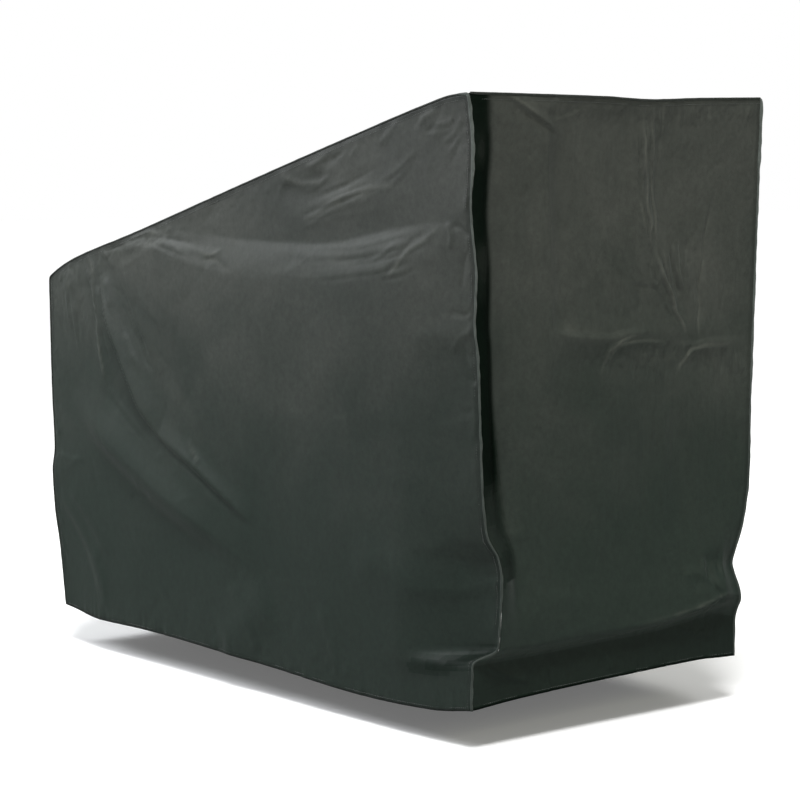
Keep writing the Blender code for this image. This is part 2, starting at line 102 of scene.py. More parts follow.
SLOPE = table(
    LineRow,
    (0.0, FRONT_HEIGHT), (0.05, 1.051), (0.1, 1.04), (0.18, 1.02), (0.6, 0.909), (1.02, 0.795),
    (1.24, 0.738), (1.3, 0.716), (LENGTH, REAR_HEIGHT),
)
LEFT_HEM = table(
    LineRow,
    (0.0, -0.002), (0.1, -0.016), (0.28, -0.022), (0.55, -0.014), (1.0, -0.004), (1.16, -0.007),
    (LENGTH, 0.004),
)
RIGHT_HEM = table(
    LineRow,
    (0.0, 0.012), (0.35, -0.006), (0.8, 0.002), (1.1, -0.008), (LENGTH, 0.0),
)
FRONT_HEM = table(
    LineRow,
    (-HALF_WIDTH, -0.002), (-0.25, 0.005), (0.0, 0.013), (0.22, 0.017), (HALF_WIDTH, 0.012),
)
REAR_HEM = table(
    LineRow,
    (-HALF_WIDTH, 0.004), (-0.12, -0.005), (0.14, 0.003), (HALF_WIDTH, 0.0),
)
FRONT_SEAM_SAG = table(
    LineRow,
    (-HALF_WIDTH, 0.0), (-0.05, -0.003), (0.07, -0.007), (0.2, -0.003), (HALF_WIDTH, 0.0),
)
REAR_SEAM_SAG = table(
    LineRow,
    (-HALF_WIDTH, 0.0), (-0.04, -0.01), (0.1, -0.008), (HALF_WIDTH, 0.0),
)
FRONT_LEFT_SEAM = table(
    SeamRow,
    (0.0, 0.004, 0.006), (0.082, 0.005, 0.008), (0.106, 0.03, 0.045), (0.23, 0.034, 0.048),
    (0.266, 0.03, 0.044), (0.3, 0.022, 0.026), (0.37, 0.02, 0.017), (0.62, 0.013, 0.01),
    (0.66, 0.009, 0.007), (0.75, 0.011, 0.008), (0.86, 0.003, 0.003), (0.96, 0.007, 0.004),
    (FRONT_HEIGHT, 0.0, 0.0),
)
FRONT_RIGHT_SEAM = table(
    SeamRow,
    (0.0, 0.0, 0.056), (0.07, 0.002, 0.058), (0.094, 0.01, 0.06), (0.118, 0.02, 0.061),
    (0.145, 0.014, 0.064), (0.18, 0.0, 0.065), (0.21, 0.002, 0.056), (0.27, 0.006, 0.039),
    (0.345, 0.005, 0.027), (0.5, 0.003, 0.022), (0.775, 0.001, 0.011), (FRONT_HEIGHT, 0.0, 0.0),
)
REAR_LEFT_SEAM = table(
    SeamRow,
    (0.0, 0.034, 0.01), (0.13, 0.02, 0.006), (0.215, 0.006, 0.003), (0.29, 0.003, 0.001),
    (0.335, 0.009, 0.003), (0.45, 0.005, 0.001), (REAR_HEIGHT, 0.0, 0.0),
)
REAR_RIGHT_SEAM = table(
    SeamRow,
    (0.0, 0.03, 0.022), (0.18, 0.016, 0.014), (0.26, 0.005, 0.01), (0.45, 0.006, 0.003),
    (REAR_HEIGHT, 0.0, 0.0),
)
LIP = table(
    LipRow,
    (0.0, 0.004), (0.07, 0.001), (0.082, 0.002), (0.094, 0.016), (0.106, 0.026), (0.13, 0.026),
    (0.198, 0.014), (0.3, 0.003), (0.4, 0.0), (FRONT_HEIGHT, 0.0),
)
LIP_UP = 0.094
LIP_SPREAD = 0.06
LIP_ACROSS = table(
    LipShareRow,
    (-HALF_WIDTH, 1.0, 0.0), (-0.2, 0.9, -0.01), (0.06, 0.75, -0.011), (0.22, 0.95, 0.002),
    (0.3, 1.1, 0.008), (HALF_WIDTH, 1.0, 0.0),
)
FRONT_HOLLOW = 0.008
LEDGE_DROP = 0.22
LEDGE_TURN = 0.74
LEDGE_TURN_REACH = 0.12

# The soft folds that the solids have too: (across, up) on the ends, (back, up) on the sides.
FRONT_FOLDS = table(
    Fold,
    ((-0.322, 1.05), (-0.312, 0.64), (-0.285, 0.26), 0.03, -0.014),
    ((-0.185, 1.045), (-0.182, 0.8), (-0.168, 0.48), 0.026, 0.004),
    ((-0.155, 1.045), (-0.148, 0.8), (-0.14, 0.5), 0.022, -0.003),
    ((-0.29, 1.044), (-0.225, 1.012), (-0.14, 0.962), 0.026, 0.004),
    ((0.055, 1.05), (0.062, 0.86), (0.16, 0.62), 0.026, 0.004),
    ((0.24, 0.86), (0.224, 0.74), (0.216, 0.62), 0.024, 0.003),
    ((-0.17, 0.632), (0.07, 0.632), (0.34, 0.606), 0.03, 0.004),
    ((-0.14, 0.58), (0.08, 0.575), (0.33, 0.555), 0.03, -0.002),
    ((0.215, 0.176), (0.265, 0.178), (0.31, 0.182), 0.02, -0.008),
    ((-0.05, 0.52), (-0.04, 0.36), (-0.06, 0.2), 0.04, 0.004),
    ((0.15, 0.5), (0.165, 0.36), (0.15, 0.22), 0.03, -0.003),
)
LEFT_FOLDS = table(
    Fold,
    ((1.265, 0.725), (1.263, 0.67), (1.255, 0.59), 0.026, 0.003),
    ((1.2, 0.745), (1.16, 0.62), (1.12, 0.43), 0.03, 0.003),
    ((1.15, 0.7), (0.985, 0.455), (0.68, 0.275), 0.036, 0.005),
    ((1.25, 0.46), (0.985, 0.32), (0.74, 0.222), 0.054, 0.006),
    ((1.04, 0.72), (0.94, 0.6), (0.88, 0.47), 0.045, -0.003),
    ((0.545, 0.915), (0.455, 0.89), (0.365, 0.92), 0.03, -0.003),
    ((0.43, 0.835), (0.3, 0.865), (0.16, 0.89), 0.03, 0.002),
    ((0.0, 0.665), (0.07, 0.64), (0.16, 0.65), 0.026, 0.002),
    ((0.05, 0.24), (0.18, 0.21), (0.33, 0.24), 0.045, 0.005),
    ((0.56, 0.12), (0.64, 0.06), (0.73, -0.02), 0.05, 0.006),
)
LEFT_LEDGE = table(
    LedgeRow,
    (0.0, 0.83, 0.012, 0.0), (0.06, 0.82, 0.018, 0.003), (0.12, 0.8, 0.034, 0.007),
    (0.22, 0.78, 0.04, 0.012), (0.42, 0.753, 0.038, 0.0125), (0.62, 0.756, 0.036, 0.0125),
    (0.8, 0.772, 0.03, 0.011), (0.92, 0.788, 0.022, 0.01), (1.01, 0.795, 0.01, 0.005),
    (1.07, 0.797, 0.008, 0.0), (LENGTH, 0.797, 0.008, 0.0),
)
RIGHT_FOLDS = table(
    Fold,
    ((1.18, 0.74), (1.1, 0.56), (1.04, 0.38), 0.03, 0.009),
    ((1.04, 0.42), (0.88, 0.3), (0.7, 0.26), 0.03, 0.008),
    ((0.03, 0.64), (0.16, 0.56), (0.34, 0.54), 0.03, 0.008),
    ((0.42, 0.93), (0.33, 0.87), (0.3, 0.76), 0.03, -0.006),
    ((0.26, 0.3), (0.33, 0.15), (0.34, -0.02), 0.05, 0.009),
)
RIGHT_LEDGE = table(
    LedgeRow,
    (0.0, 0.86, 0.016, 0.0), (0.16, 0.82, 0.034, 0.01), (0.5, 0.75, 0.036, 0.014),
    (0.82, 0.74, 0.03, 0.01), (1.04, 0.77, 0.02, 0.0), (LENGTH, 0.77, 0.02, 0.0),
)
REAR_FOLDS = table(
    Fold,
    ((-0.3, 0.69), (-0.18, 0.52), (-0.15, 0.3), 0.04, 0.009),
    ((0.28, 0.69), (0.2, 0.48), (0.23, 0.2), 0.045, 0.008),
    ((-0.24, 0.18), (0.02, 0.14), (0.25, 0.2), 0.035, -0.008),
)
TOP_CROWN = table(
    CrownRow,
    (0.0, 0.0), (0.14, 0.003), (0.5, -0.016), (0.86, 0.001), (0.96, 0.004), (1.16, -0.007), (LENGTH, 0.0),
)
TOP_FOLDS = table(
    Fold,
    ((0.2, -0.25), (0.4, -0.12), (0.76, -0.06), 0.04, 0.007),
    ((0.22, 0.28), (0.42, 0.16), (0.78, 0.09), 0.04, 0.006),
    ((1.02, 0.08), (1.14, 0.18), (1.29, 0.3), 0.04, 0.007),
    ((1.04, -0.06), (1.16, -0.14), (1.3, -0.26), 0.035, 0.006),
)

# The rest is on the dressed cloth only. Pleats have a long slope on one side of their line and a short
# step down on the other; a negative rise turns them inside out.
LEFT_PLEATS = lines(
    Pleat,
    (0.058, 0.006, 0.0125, (1.15, 0.72), (1.11, 0.62), (1.045, 0.522), (0.985, 0.44), (0.927, 0.396)),
    (0.044, 0.0065, 0.0062, (0.985, 0.44), (0.927, 0.396), (0.86, 0.366), (0.803, 0.342), (0.665, 0.274),
     (0.61, 0.246)),
    (0.112, 0.048, 0.0125, (1.27, 0.48), (1.154, 0.396), (1.079, 0.357), (0.998, 0.319), (0.887, 0.271),
     (0.72, 0.214), (0.57, 0.166)),
    (0.03, 0.0045, 0.003, (1.2, 0.742), (1.182, 0.7), (1.163, 0.655), (1.149, 0.574), (1.125, 0.47)),
    (0.05, 0.03, 0.003, (1.33, 0.25), (1.26, 0.2), (1.18, 0.11), (1.14, 0.02)),
)
# The paths on the front and the left side were guided by points read in the photograph, which a helper
# script carried onto each panel in metres. About sixty are kept as it printed them, and the rest were
# moved or added by eye. The paths on the right side, the rear and the top are guessed.

# Jagged paths of the long creases that run down the front panel to its horizontal fold.
STEM_LOW = (
    (0.176, 0.604), (0.161, 0.64), (0.142, 0.664), (0.127, 0.7), (0.108, 0.728), (0.098, 0.758),
    (0.076, 0.806),
)
STEM_HIGH = (
    (0.085, 0.765), (0.074, 0.806), (0.076, 0.832), (0.065, 0.866), (0.065, 0.905), (0.06, 0.95),
    (0.06, 0.995), (0.054, 1.06),
)
STEM_SIDE = (
    (0.101, 0.765), (0.09, 0.8), (0.091, 0.842), (0.08, 0.892), (0.083, 0.95), (0.079, 1.0), (0.08, 1.04),
)
STEM_RIGHT = (
    (0.211, 0.585), (0.204, 0.636), (0.21, 0.672), (0.206, 0.708), (0.217, 0.752), (0.22, 0.8),
    (0.236, 0.85), (0.262, 0.92),
)
FRONT_PLEATS = lines(
    Pleat,
    (0.055, 0.013, 0.0048, (-0.175, 0.638), (-0.147, 0.635), (-0.085, 0.627), (-0.016, 0.622),
     (0.037, 0.631), (0.12, 0.624)),
    (0.05, 0.012, 0.004, (0.14, 0.602), (0.197, 0.597), (0.231, 0.601), (0.29, 0.602), (0.338, 0.601)),
    (0.018, 0.0045, 0.0026, (-0.038, 0.57), (-0.029, 0.591), (-0.016, 0.608), (0.011, 0.618),
     (0.045, 0.624)),
    (0.02, 0.0045, 0.0024, (-0.018, 0.575), (-0.012, 0.598), (0.022, 0.611), (0.075, 0.613),
     (0.13, 0.606)),
    (0.022, 0.005, 0.0028, (0.154, 0.552), (0.175, 0.578), (0.197, 0.59), (0.231, 0.593), (0.3, 0.59)),
    (0.01, 0.0045, 0.0042, *STEM_LOW),
    (0.01, 0.0045, 0.004, *STEM_HIGH),
    (0.008, 0.004, 0.0024, *STEM_SIDE),
    (0.036, 0.007, -0.005, *STEM_RIGHT),
    (0.06, 0.004, 0.007, (-0.14, 0.984), (-0.178, 1.005), (-0.197, 1.015), (-0.22, 1.027),
     (-0.243, 1.039), (-0.29, 1.066)),
    (0.03, 0.004, -0.002, (-0.05, 1.06), (-0.1, 1.036), (-0.14, 1.022), (-0.175, 1.014), (-0.215, 1.012)),
    (0.055, 0.006, 0.0065, (0.5, 0.132), (0.302, 0.118), (0.229, 0.108), (0.137, 0.102), (0.038, 0.099),
     (-0.059, 0.09), (-0.24, 0.086)),
    (0.04, 0.012, 0.001, (-0.098, 0.54), (-0.098, 0.7), (-0.102, 0.9), (-0.1, 1.045)),
)

# Paths on the left side that both a crease and a line of painted highlight follow.
SEAM_PULL = ((0.207, 0.731), (0.179, 0.761), (0.153, 0.786), (0.114, 0.806), (0.074, 0.834))
SWOOP_LOWER = ((0.48, 0.822), (0.397, 0.852), (0.312, 0.876), (0.22, 0.89))
SWOOP_UPPER = ((0.397, 0.858), (0.33, 0.878), (0.25, 0.896), (0.171, 0.896))
LEDGE_TICK_HIGH = ((0.787, 0.771), (0.75, 0.76), (0.711, 0.773))
LEDGE_TICK_LOW = ((0.774, 0.75), (0.73, 0.752), (0.679, 0.73))
LEDGE_END = ((1.035, 0.784), (1.009, 0.79), (0.962, 0.8), (0.925, 0.792))
FOLD_TICK = ((0.835, 0.4), (0.812, 0.372), (0.79, 0.352))
CORNER_FOLD = ((1.191, 0.749), (1.169, 0.717), (1.163, 0.658), (1.156, 0.619))

# Sharp creases; one that leans is wider on one side of its line.
FRONT_CREASES = lines(
    Crease,
    (0.003, -0.0018, 0.0, (0.03, 0.722), (0.063, 0.714), (0.085, 0.711), (0.104, 0.702)),
    (0.003, 0.0016, 0.2, (0.111, 0.785), (0.114, 0.759), (0.13, 0.725)),
    (0.003, 0.0014, 0.2, (0.136, 0.79), (0.138, 0.76), (0.15, 0.72)),
    (0.003, 0.0014, -0.2, (0.152, 0.8), (0.15, 0.765), (0.156, 0.72)),
    (0.005, 0.0018, 0.4, (0.052, 1.046), (0.058, 0.968), (0.062, 0.907), (0.057, 0.84), (0.081, 0.79)),
    (0.005, 0.0027, -0.2, (0.078, 1.046), (0.08, 0.96), (0.074, 0.87), (0.09, 0.8)),
    (0.006, 0.0021, 0.5, (-0.181, 1.04), (-0.176, 0.9), (-0.168, 0.76), (-0.162, 0.52)),
    (0.01, -0.0015, 0.5, (-0.1, 1.045), (-0.102, 0.9), (-0.098, 0.7), (-0.096, 0.54)),
    (0.004, 0.0018, 0.3, (-0.06, 0.93), (-0.046, 0.88), (-0.03, 0.83), (-0.036, 0.78)),
    (0.005, 0.0024, 0.2, (-0.316, 0.293), (-0.27, 0.29), (-0.218, 0.292)),
    (0.012, 0.0021, 0.3, (0.0, 0.52), (0.003, 0.4), (-0.004, 0.24)),
    (0.012, -0.0018, 0.3, (0.06, 0.54), (0.068, 0.42), (0.06, 0.27)),
    (0.012, 0.0021, -0.3, (0.118, 0.52), (0.122, 0.4), (0.112, 0.25)),
    (0.006, 0.0045, -0.4, (0.205, 0.19), (0.245, 0.178), (0.29, 0.18)),
    (0.006, -0.0039, 0.2, (0.225, 0.176), (0.25, 0.14), (0.29, 0.112)),
    (0.012, 0.003, 0.2, (-0.255, 0.2), (-0.18, 0.17), (-0.11, 0.172)),
    (0.008, 0.0042, 0.5, (-0.335, 0.075), (-0.28, 0.05), (-0.215, 0.022)),
    (0.007, 0.0036, 0.4, (0.15, 0.075), (0.21, 0.052), (0.285, 0.048)),
    (0.006, 0.0024, 0.2, (-0.06, 0.07), (-0.03, 0.042), (-0.022, 0.012)),
)
# Painted highlights: pale lines along the crests of folds and creases, where light catches them.
FRONT_HIGHLIGHTS = lines(
    Pale,
    (0.0032, 0.62, *STEM_LOW),
    (0.003, 0.5, *STEM_HIGH),
    (0.0026, 0.36, *STEM_SIDE),
    (0.0032, 0.55, *STEM_RIGHT),
    (0.0024, 0.4, (0.064, 0.82), (0.058, 0.846), (0.05, 0.88)),
    (0.0024, 0.45, (0.098, 0.75), (0.112, 0.742), (0.118, 0.722), (0.134, 0.7)),
    (0.0028, 0.38, (0.111, 0.79), (0.114, 0.759), (0.13, 0.72)),
    (0.0028, 0.45, (0.136, 0.795), (0.138, 0.76), (0.15, 0.715)),
    (0.0028, 0.35, (0.152, 0.805), (0.15, 0.765), (0.156, 0.715)),
    (0.003, 0.46, (-0.04, 0.54), (-0.036, 0.568), (-0.027, 0.585), (-0.023, 0.6), (-0.006, 0.61),
     (0.008, 0.621), (0.037, 0.627), (0.075, 0.63)),
    (0.0028, 0.38, (-0.02, 0.57), (-0.01, 0.606), (0.027, 0.616), (0.075, 0.617), (0.13, 0.611)),
    (0.003, 0.5, (0.146, 0.535), (0.158, 0.56), (0.173, 0.576), (0.186, 0.592), (0.206, 0.594),
     (0.231, 0.599), (0.28, 0.597), (0.335, 0.601)),
    (0.016, 0.2, (-0.18, 0.65), (-0.1, 0.642), (-0.02, 0.634), (0.08, 0.636)),
    (0.0032, 0.65, (-0.28, 1.062), (-0.243, 1.044), (-0.22, 1.032), (-0.196, 1.02)),
    (0.012, 0.3, (-0.25, 1.058), (-0.215, 1.046), (-0.185, 1.034)),
    (0.0028, 0.4, (0.103, 1.05), (0.106, 1.03), (0.108, 1.0)),
    (0.0028, 0.35, (0.146, 1.05), (0.147, 1.03), (0.146, 1.005)),
    (0.0028, 0.35, (0.19, 1.05), (0.191, 1.035), (0.194, 1.012)),
    (0.0028, 0.3, (0.224, 1.048), (0.223, 1.03), (0.226, 1.008)),
    (0.003, 0.3, (0.345, 0.126), (0.229, 0.113), (0.137, 0.108), (0.02, 0.106)),
)
# Painted highlights along the crests of folds and creases on the left side.
LEFT_HIGHLIGHTS = lines(
    Pale,
    (0.0032, 0.4, *CORNER_FOLD),
    (0.0028, 0.5, (1.16, 0.64), (1.149, 0.574), (1.139, 0.532), (1.125, 0.492)),
    (0.0034, 0.3, (1.263, 0.74), (1.261, 0.714), (1.264, 0.66)),
    (0.0024, 0.24, *FOLD_TICK),
    (0.003, 0.35, *SWOOP_LOWER),
    (0.0034, 0.3, *SWOOP_UPPER),
    (0.0032, 0.45, *SEAM_PULL),
    (0.003, 0.3, (0.537, 0.924), (0.5, 0.906), (0.455, 0.899), (0.401, 0.906)),
    (0.003, 0.45, *LEDGE_END),
    (0.0028, 0.35, *LEDGE_TICK_HIGH),
    (0.0028, 0.35, *LEDGE_TICK_LOW),
)
LEFT_CREASES = lines(
    Crease,
    (0.004, -0.0016, 0.2, (1.115, 0.598), (1.05, 0.506), (0.985, 0.43), (0.925, 0.388)),
    (0.004, -0.0022, 0.2, (0.94, 0.398), (0.88, 0.362), (0.81, 0.334), (0.74, 0.298), (0.675, 0.27)),
    (0.004, 0.002, 0.3, *FOLD_TICK),
    (0.004, -0.0016, 0.0, (0.815, 0.395), (0.805, 0.37), (0.812, 0.35)),
    (0.004, 0.002, -0.3, (1.145, 0.765), (1.116, 0.743), (1.091, 0.72)),
    (0.005, 0.002, -0.3, (1.128, 0.7), (1.108, 0.672), (1.1, 0.64)),
    (0.005, 0.0022, 0.4, (1.263, 0.74), (1.261, 0.714), (1.264, 0.684), (1.262, 0.64)),
    (0.005, 0.0014, 0.3, (1.232, 0.73), (1.226, 0.69), (1.214, 0.64)),
    (0.004, 0.0022, 0.3, *CORNER_FOLD),
    (0.004, 0.0024, 0.3, (1.156, 0.619), (1.149, 0.574), (1.139, 0.532), (1.125, 0.492)),
    (0.004, -0.0018, 0.0, (1.14, 0.6), (1.126, 0.56), (1.112, 0.53)),
    (0.01, 0.0016, 0.4, (1.06, 0.748), (1.04, 0.7), (1.01, 0.655)),
    (0.01, 0.0014, -0.4, (1.01, 0.69), (0.96, 0.64), (0.9, 0.61)),
    (0.005, 0.0024, 0.2, *LEDGE_END),
    (0.004, -0.0018, 0.0, (0.981, 0.783), (0.955, 0.776), (0.913, 0.792)),
    (0.004, 0.0018, 0.2, *LEDGE_TICK_HIGH),
    (0.004, -0.0016, 0.2, *LEDGE_TICK_LOW),
    (0.004, 0.0016, 0.0, (0.76, 0.78), (0.735, 0.755), (0.728, 0.738)),
    (0.008, 0.0022, 0.5, (0.537, 0.924), (0.5, 0.906), (0.455, 0.899), (0.401, 0.906), (0.378, 0.922)),
    (0.005, 0.0016, 0.3, (0.46, 0.93), (0.425, 0.935), (0.384, 0.955)),
    (0.004, -0.0014, 0.0, (0.416, 0.937), (0.38, 0.942), (0.331, 0.961)),
    (0.006, 0.0004, -0.3, *SWOOP_LOWER),
    (0.004, 0.0005, -0.3, *SWOOP_UPPER),
    (0.004, 0.0006, -0.3, (0.33, 0.858), (0.27, 0.885), (0.195, 0.893)),
    (0.005, 0.001, -0.4, (0.234, 0.906), (0.19, 0.925), (0.135, 0.961)),
    (0.004, 0.0009, -0.4, (0.207, 0.895), (0.18, 0.915), (0.15, 0.94)),
    (0.004, 0.0013, 0.2, (0.13, 1.005), (0.109, 1.02), (0.083, 1.026)),
    (0.0035, -0.0012, 0.2, (0.115, 0.99), (0.095, 1.0), (0.088, 1.014)),
    (0.004, 0.0014, 0.2, (0.1, 1.004), (0.06, 1.006), (0.045, 1.016)),
    (0.003, 0.0012, 0.3, *SEAM_PULL),
    (0.003, -0.0009, 0.0, (0.18, 0.77), (0.15, 0.8), (0.105, 0.822)),
    (0.004, 0.002, 0.2, (0.06, 0.84), (0.05, 0.815), (0.058, 0.79)),
    (0.004, -0.002, 0.0, (0.004, 0.812), (0.026, 0.829), (0.05, 0.832)),
    (0.004, -0.0018, 0.0, (0.004, 0.8), (0.026, 0.77), (0.034, 0.72)),
    (0.004, -0.0022, 0.0, (0.004, 0.56), (0.02, 0.59), (0.034, 0.625)),
    (0.004, 0.0018, 0.0, (0.004, 0.655), (0.035, 0.64), (0.06, 0.612)),
    (0.004, -0.0016, 0.0, (0.004, 0.69), (0.03, 0.68), (0.06, 0.686)),
    (0.004, 0.0014, 0.0, (0.006, 0.52), (0.028, 0.5), (0.05, 0.5)),
    (0.01, 0.003, 0.3, (0.0, 0.275), (0.06, 0.262), (0.15, 0.268)),
    (0.012, 0.003, 0.3, (0.008, 0.225), (0.08, 0.196), (0.19, 0.19)),
    (0.006, -0.003, 0.2, (0.004, 0.098), (0.025, 0.088), (0.06, 0.086)),
    (0.004, -0.002, 0.0, (0.099, 0.058), (0.088, 0.048), (0.077, 0.038)),
    (0.004, -0.0016, 0.0, (1.04, 0.262), (1.0, 0.268), (0.954, 0.272)),
    (0.02, 0.0024, -0.5, (1.28, 0.255), (1.2, 0.2), (1.12, 0.12)),
    (0.014, 0.002, 0.4, (0.7, 0.13), (0.64, 0.07), (0.6, 0.0)),
    (0.014, 0.0018, -0.3, (0.42, 0.12), (0.38, 0.06), (0.365, -0.01)),
    (0.014, 0.0018, 0.3, (1.19, 0.15), (1.15, 0.08), (1.14, 0.01)),
    (0.006, 0.0016, 0.2, (1.32, 0.33), (1.27, 0.318), (1.21, 0.322)),
)
RIGHT_CREASES = lines(
    Crease,
    (0.01, 0.0028, 0.5, (0.0, 0.86), (0.16, 0.838), (0.5, 0.772), (0.82, 0.758), (1.04, 0.778)),
    (0.01, 0.0034, -0.5, (0.02, 0.85), (0.18, 0.785), (0.5, 0.715), (0.8, 0.708), (1.0, 0.755)),
    (0.009, 0.0048, -0.4, (1.18, 0.735), (1.13, 0.62), (1.075, 0.5), (1.045, 0.39)),
    (0.01, 0.0044, -0.4, (1.045, 0.42), (0.94, 0.33), (0.84, 0.285), (0.7, 0.26)),
    (0.007, 0.003, 0.3, (1.25, 0.725), (1.235, 0.66), (1.24, 0.6)),
    (0.009, 0.0034, 0.4, (0.02, 0.645), (0.12, 0.575), (0.34, 0.54)),
    (0.01, -0.0034, 0.3, (0.43, 0.94), (0.35, 0.89), (0.305, 0.8), (0.3, 0.74)),
    (0.014, 0.0034, 0.4, (0.255, 0.3), (0.31, 0.18), (0.34, 0.05), (0.345, -0.01)),
    (0.01, -0.0038, 0.2, (0.0, 0.18), (0.08, 0.17), (0.18, 0.19)),
    (0.014, 0.0026, -0.3, (0.68, 0.14), (0.7, 0.06), (0.69, 0.0)),
)
REAR_CREASES = lines(
    Crease,
    (0.01, 0.0046, 0.4, (-0.31, 0.68), (-0.23, 0.59), (-0.175, 0.48), (-0.15, 0.3)),
    (0.01, 0.0042, -0.4, (0.29, 0.68), (0.23, 0.56), (0.205, 0.4), (0.235, 0.21)),
    (0.01, -0.004, 0.3, (-0.24, 0.185), (-0.1, 0.15), (0.06, 0.146), (0.25, 0.205)),
    (0.01, 0.0028, 0.3, (-0.06, 0.675), (-0.02, 0.56), (0.01, 0.45)),
    (0.008, -0.0024, 0.0, (0.08, 0.67), (0.09, 0.6), (0.07, 0.53)),
    (0.012, 0.003, 0.3, (-0.2, 0.13), (-0.18, 0.06), (-0.19, 0.005)),
    (0.012, 0.0026, -0.3, (0.16, 0.12), (0.15, 0.06), (0.17, 0.01)),
)
TOP_CREASES = lines(
    Crease,
    (0.01, 0.0046, 0.4, (0.06, -0.3), (0.2, -0.23), (0.42, -0.13), (0.76, -0.06)),
    (0.01, 0.0042, -0.4, (0.07, 0.31), (0.22, 0.27), (0.44, 0.16), (0.78, 0.09)),
    (0.01, 0.0046, 0.4, (1.01, 0.07), (1.12, 0.16), (1.2, 0.23), (1.3, 0.32)),
    (0.01, 0.0042, -0.4, (1.03, -0.06), (1.15, -0.14), (1.31, -0.28)),
    (0.012, 0.003, 0.4, (0.13, -0.28), (0.12, -0.1), (0.125, 0.12), (0.115, 0.29)),
    (0.008, 0.0018, 0.2, (0.64, -0.34), (0.65, -0.12), (0.655, 0.13), (0.64, 0.34)),
    (0.012, -0.003, 0.2, (0.3, -0.01), (0.5, 0.015), (0.72, 0.0)),
    (0.01, 0.0032, 0.3, (0.88, -0.33), (0.93, -0.2), (0.94, -0.09)),
    (0.01, 0.0032, -0.3, (0.87, 0.33), (0.92, 0.21), (0.935, 0.1)),
)

# Sheaves of fine wrinkles. Half of the points are the first guide line, the other half the last one.
LEFT_SHEAVES = lines(
    Sheaf,
    (16, 0.004, 0.0007, (0.08, 0.826), (0.17, 0.815), (0.3, 0.79), (0.45, 0.784), (0.7, 0.786),
     (0.08, 0.79), (0.17, 0.75), (0.3, 0.732), (0.45, 0.72), (0.7, 0.735)),
    (26, 0.0026, 0.0007, (0.24, 0.77), (0.2, 0.8), (0.13, 0.826), (0.3, 0.73), (0.18, 0.73),
     (0.09, 0.77)),
    (22, 0.003, 0.0005, (0.47, 0.812), (0.39, 0.842), (0.3, 0.868), (0.2, 0.884), (0.48, 0.83),
     (0.38, 0.872), (0.29, 0.9), (0.18, 0.914)),
    (10, 0.0026, 0.0007, (0.5, 0.79), (0.47, 0.77), (0.44, 0.74), (0.42, 0.785), (0.4, 0.765),
     (0.39, 0.74)),
    (34, 0.004, 0.0015, (1.325, 0.7), (1.312, 0.62), (1.3, 0.5), (1.13, 0.74), (1.09, 0.65),
     (1.05, 0.54)),
    (26, 0.004, 0.0015, (1.14, 0.68), (1.06, 0.56), (0.96, 0.44), (1.07, 0.7), (0.99, 0.58), (0.9, 0.46)),
    (12, 0.004, 0.0004, (1.18, 0.56), (1.04, 0.44), (0.85, 0.33), (1.16, 0.46), (0.98, 0.37),
     (0.83, 0.29)),
    (10, 0.004, 0.001, (0.01, 1.03), (0.06, 1.0), (0.14, 0.99), (0.01, 1.02), (0.025, 0.96),
     (0.05, 0.89)),
    (8, 0.004, 0.0009, (0.36, 0.945), (0.4, 0.92), (0.45, 0.905), (0.39, 0.91), (0.43, 0.89),
     (0.48, 0.87)),
    (18, 0.004, 0.0008, (0.42, 0.89), (0.32, 0.92), (0.2, 0.98), (0.5, 0.81), (0.35, 0.84), (0.15, 0.87)),
    (10, 0.004, 0.0012, (1.16, 0.755), (1.05, 0.775), (0.94, 0.805), (1.1, 0.745), (1.0, 0.76),
     (0.9, 0.78)),
    (14, 0.004, 0.001, (0.98, 0.8), (0.88, 0.79), (0.7, 0.775), (0.96, 0.78), (0.85, 0.755),
     (0.7, 0.735)),
    (80, 0.0036, 0.0012, (0.002, 0.99), (0.012, 0.992), (0.03, 0.985), (0.002, 0.12), (0.012, 0.117),
     (0.026, 0.122)),
    (36, 0.004, 0.0009, (1.338, 0.69), (1.322, 0.688), (1.3, 0.692), (1.338, 0.04), (1.325, 0.044),
     (1.305, 0.04)),
    (70, 0.004, 0.0009, (0.06, 1.045), (0.066, 1.025), (0.07, 1.0), (1.3, 0.712), (1.296, 0.692),
     (1.292, 0.668)),
    (40, 0.005, 0.0008, (0.02, 0.03), (0.026, 0.012), (0.03, -0.01), (1.3, 0.04), (1.296, 0.02),
     (1.292, 0.004)),
)
RIGHT_SHEAVES = lines(
    Sheaf,
    (20, 0.006, 0.0016, (0.01, 0.85), (0.16, 0.83), (0.4, 0.79), (0.7, 0.77), (0.01, 0.83), (0.16, 0.77),
     (0.4, 0.73), (0.7, 0.715)),
    (24, 0.007, 0.0016, (1.325, 0.7), (1.312, 0.62), (1.3, 0.5), (1.1, 0.74), (1.06, 0.64), (1.02, 0.5)),
    (16, 0.007, 0.0016, (0.42, 0.94), (0.33, 0.93), (0.2, 0.98), (0.5, 0.83), (0.35, 0.84), (0.15, 0.89)),
    (55, 0.0055, 0.0017, (0.002, 0.99), (0.02, 0.992), (0.045, 0.985), (0.002, 0.12), (0.02, 0.117),
     (0.04, 0.122)),
    (36, 0.0055, 0.0014, (1.338, 0.69), (1.322, 0.688), (1.3, 0.692), (1.338, 0.04), (1.325, 0.044),
     (1.305, 0.04)),
    (60, 0.006, 0.0016, (0.06, 1.045), (0.066, 1.025), (0.07, 1.0), (1.3, 0.712), (1.296, 0.692),
     (1.292, 0.668)),
)
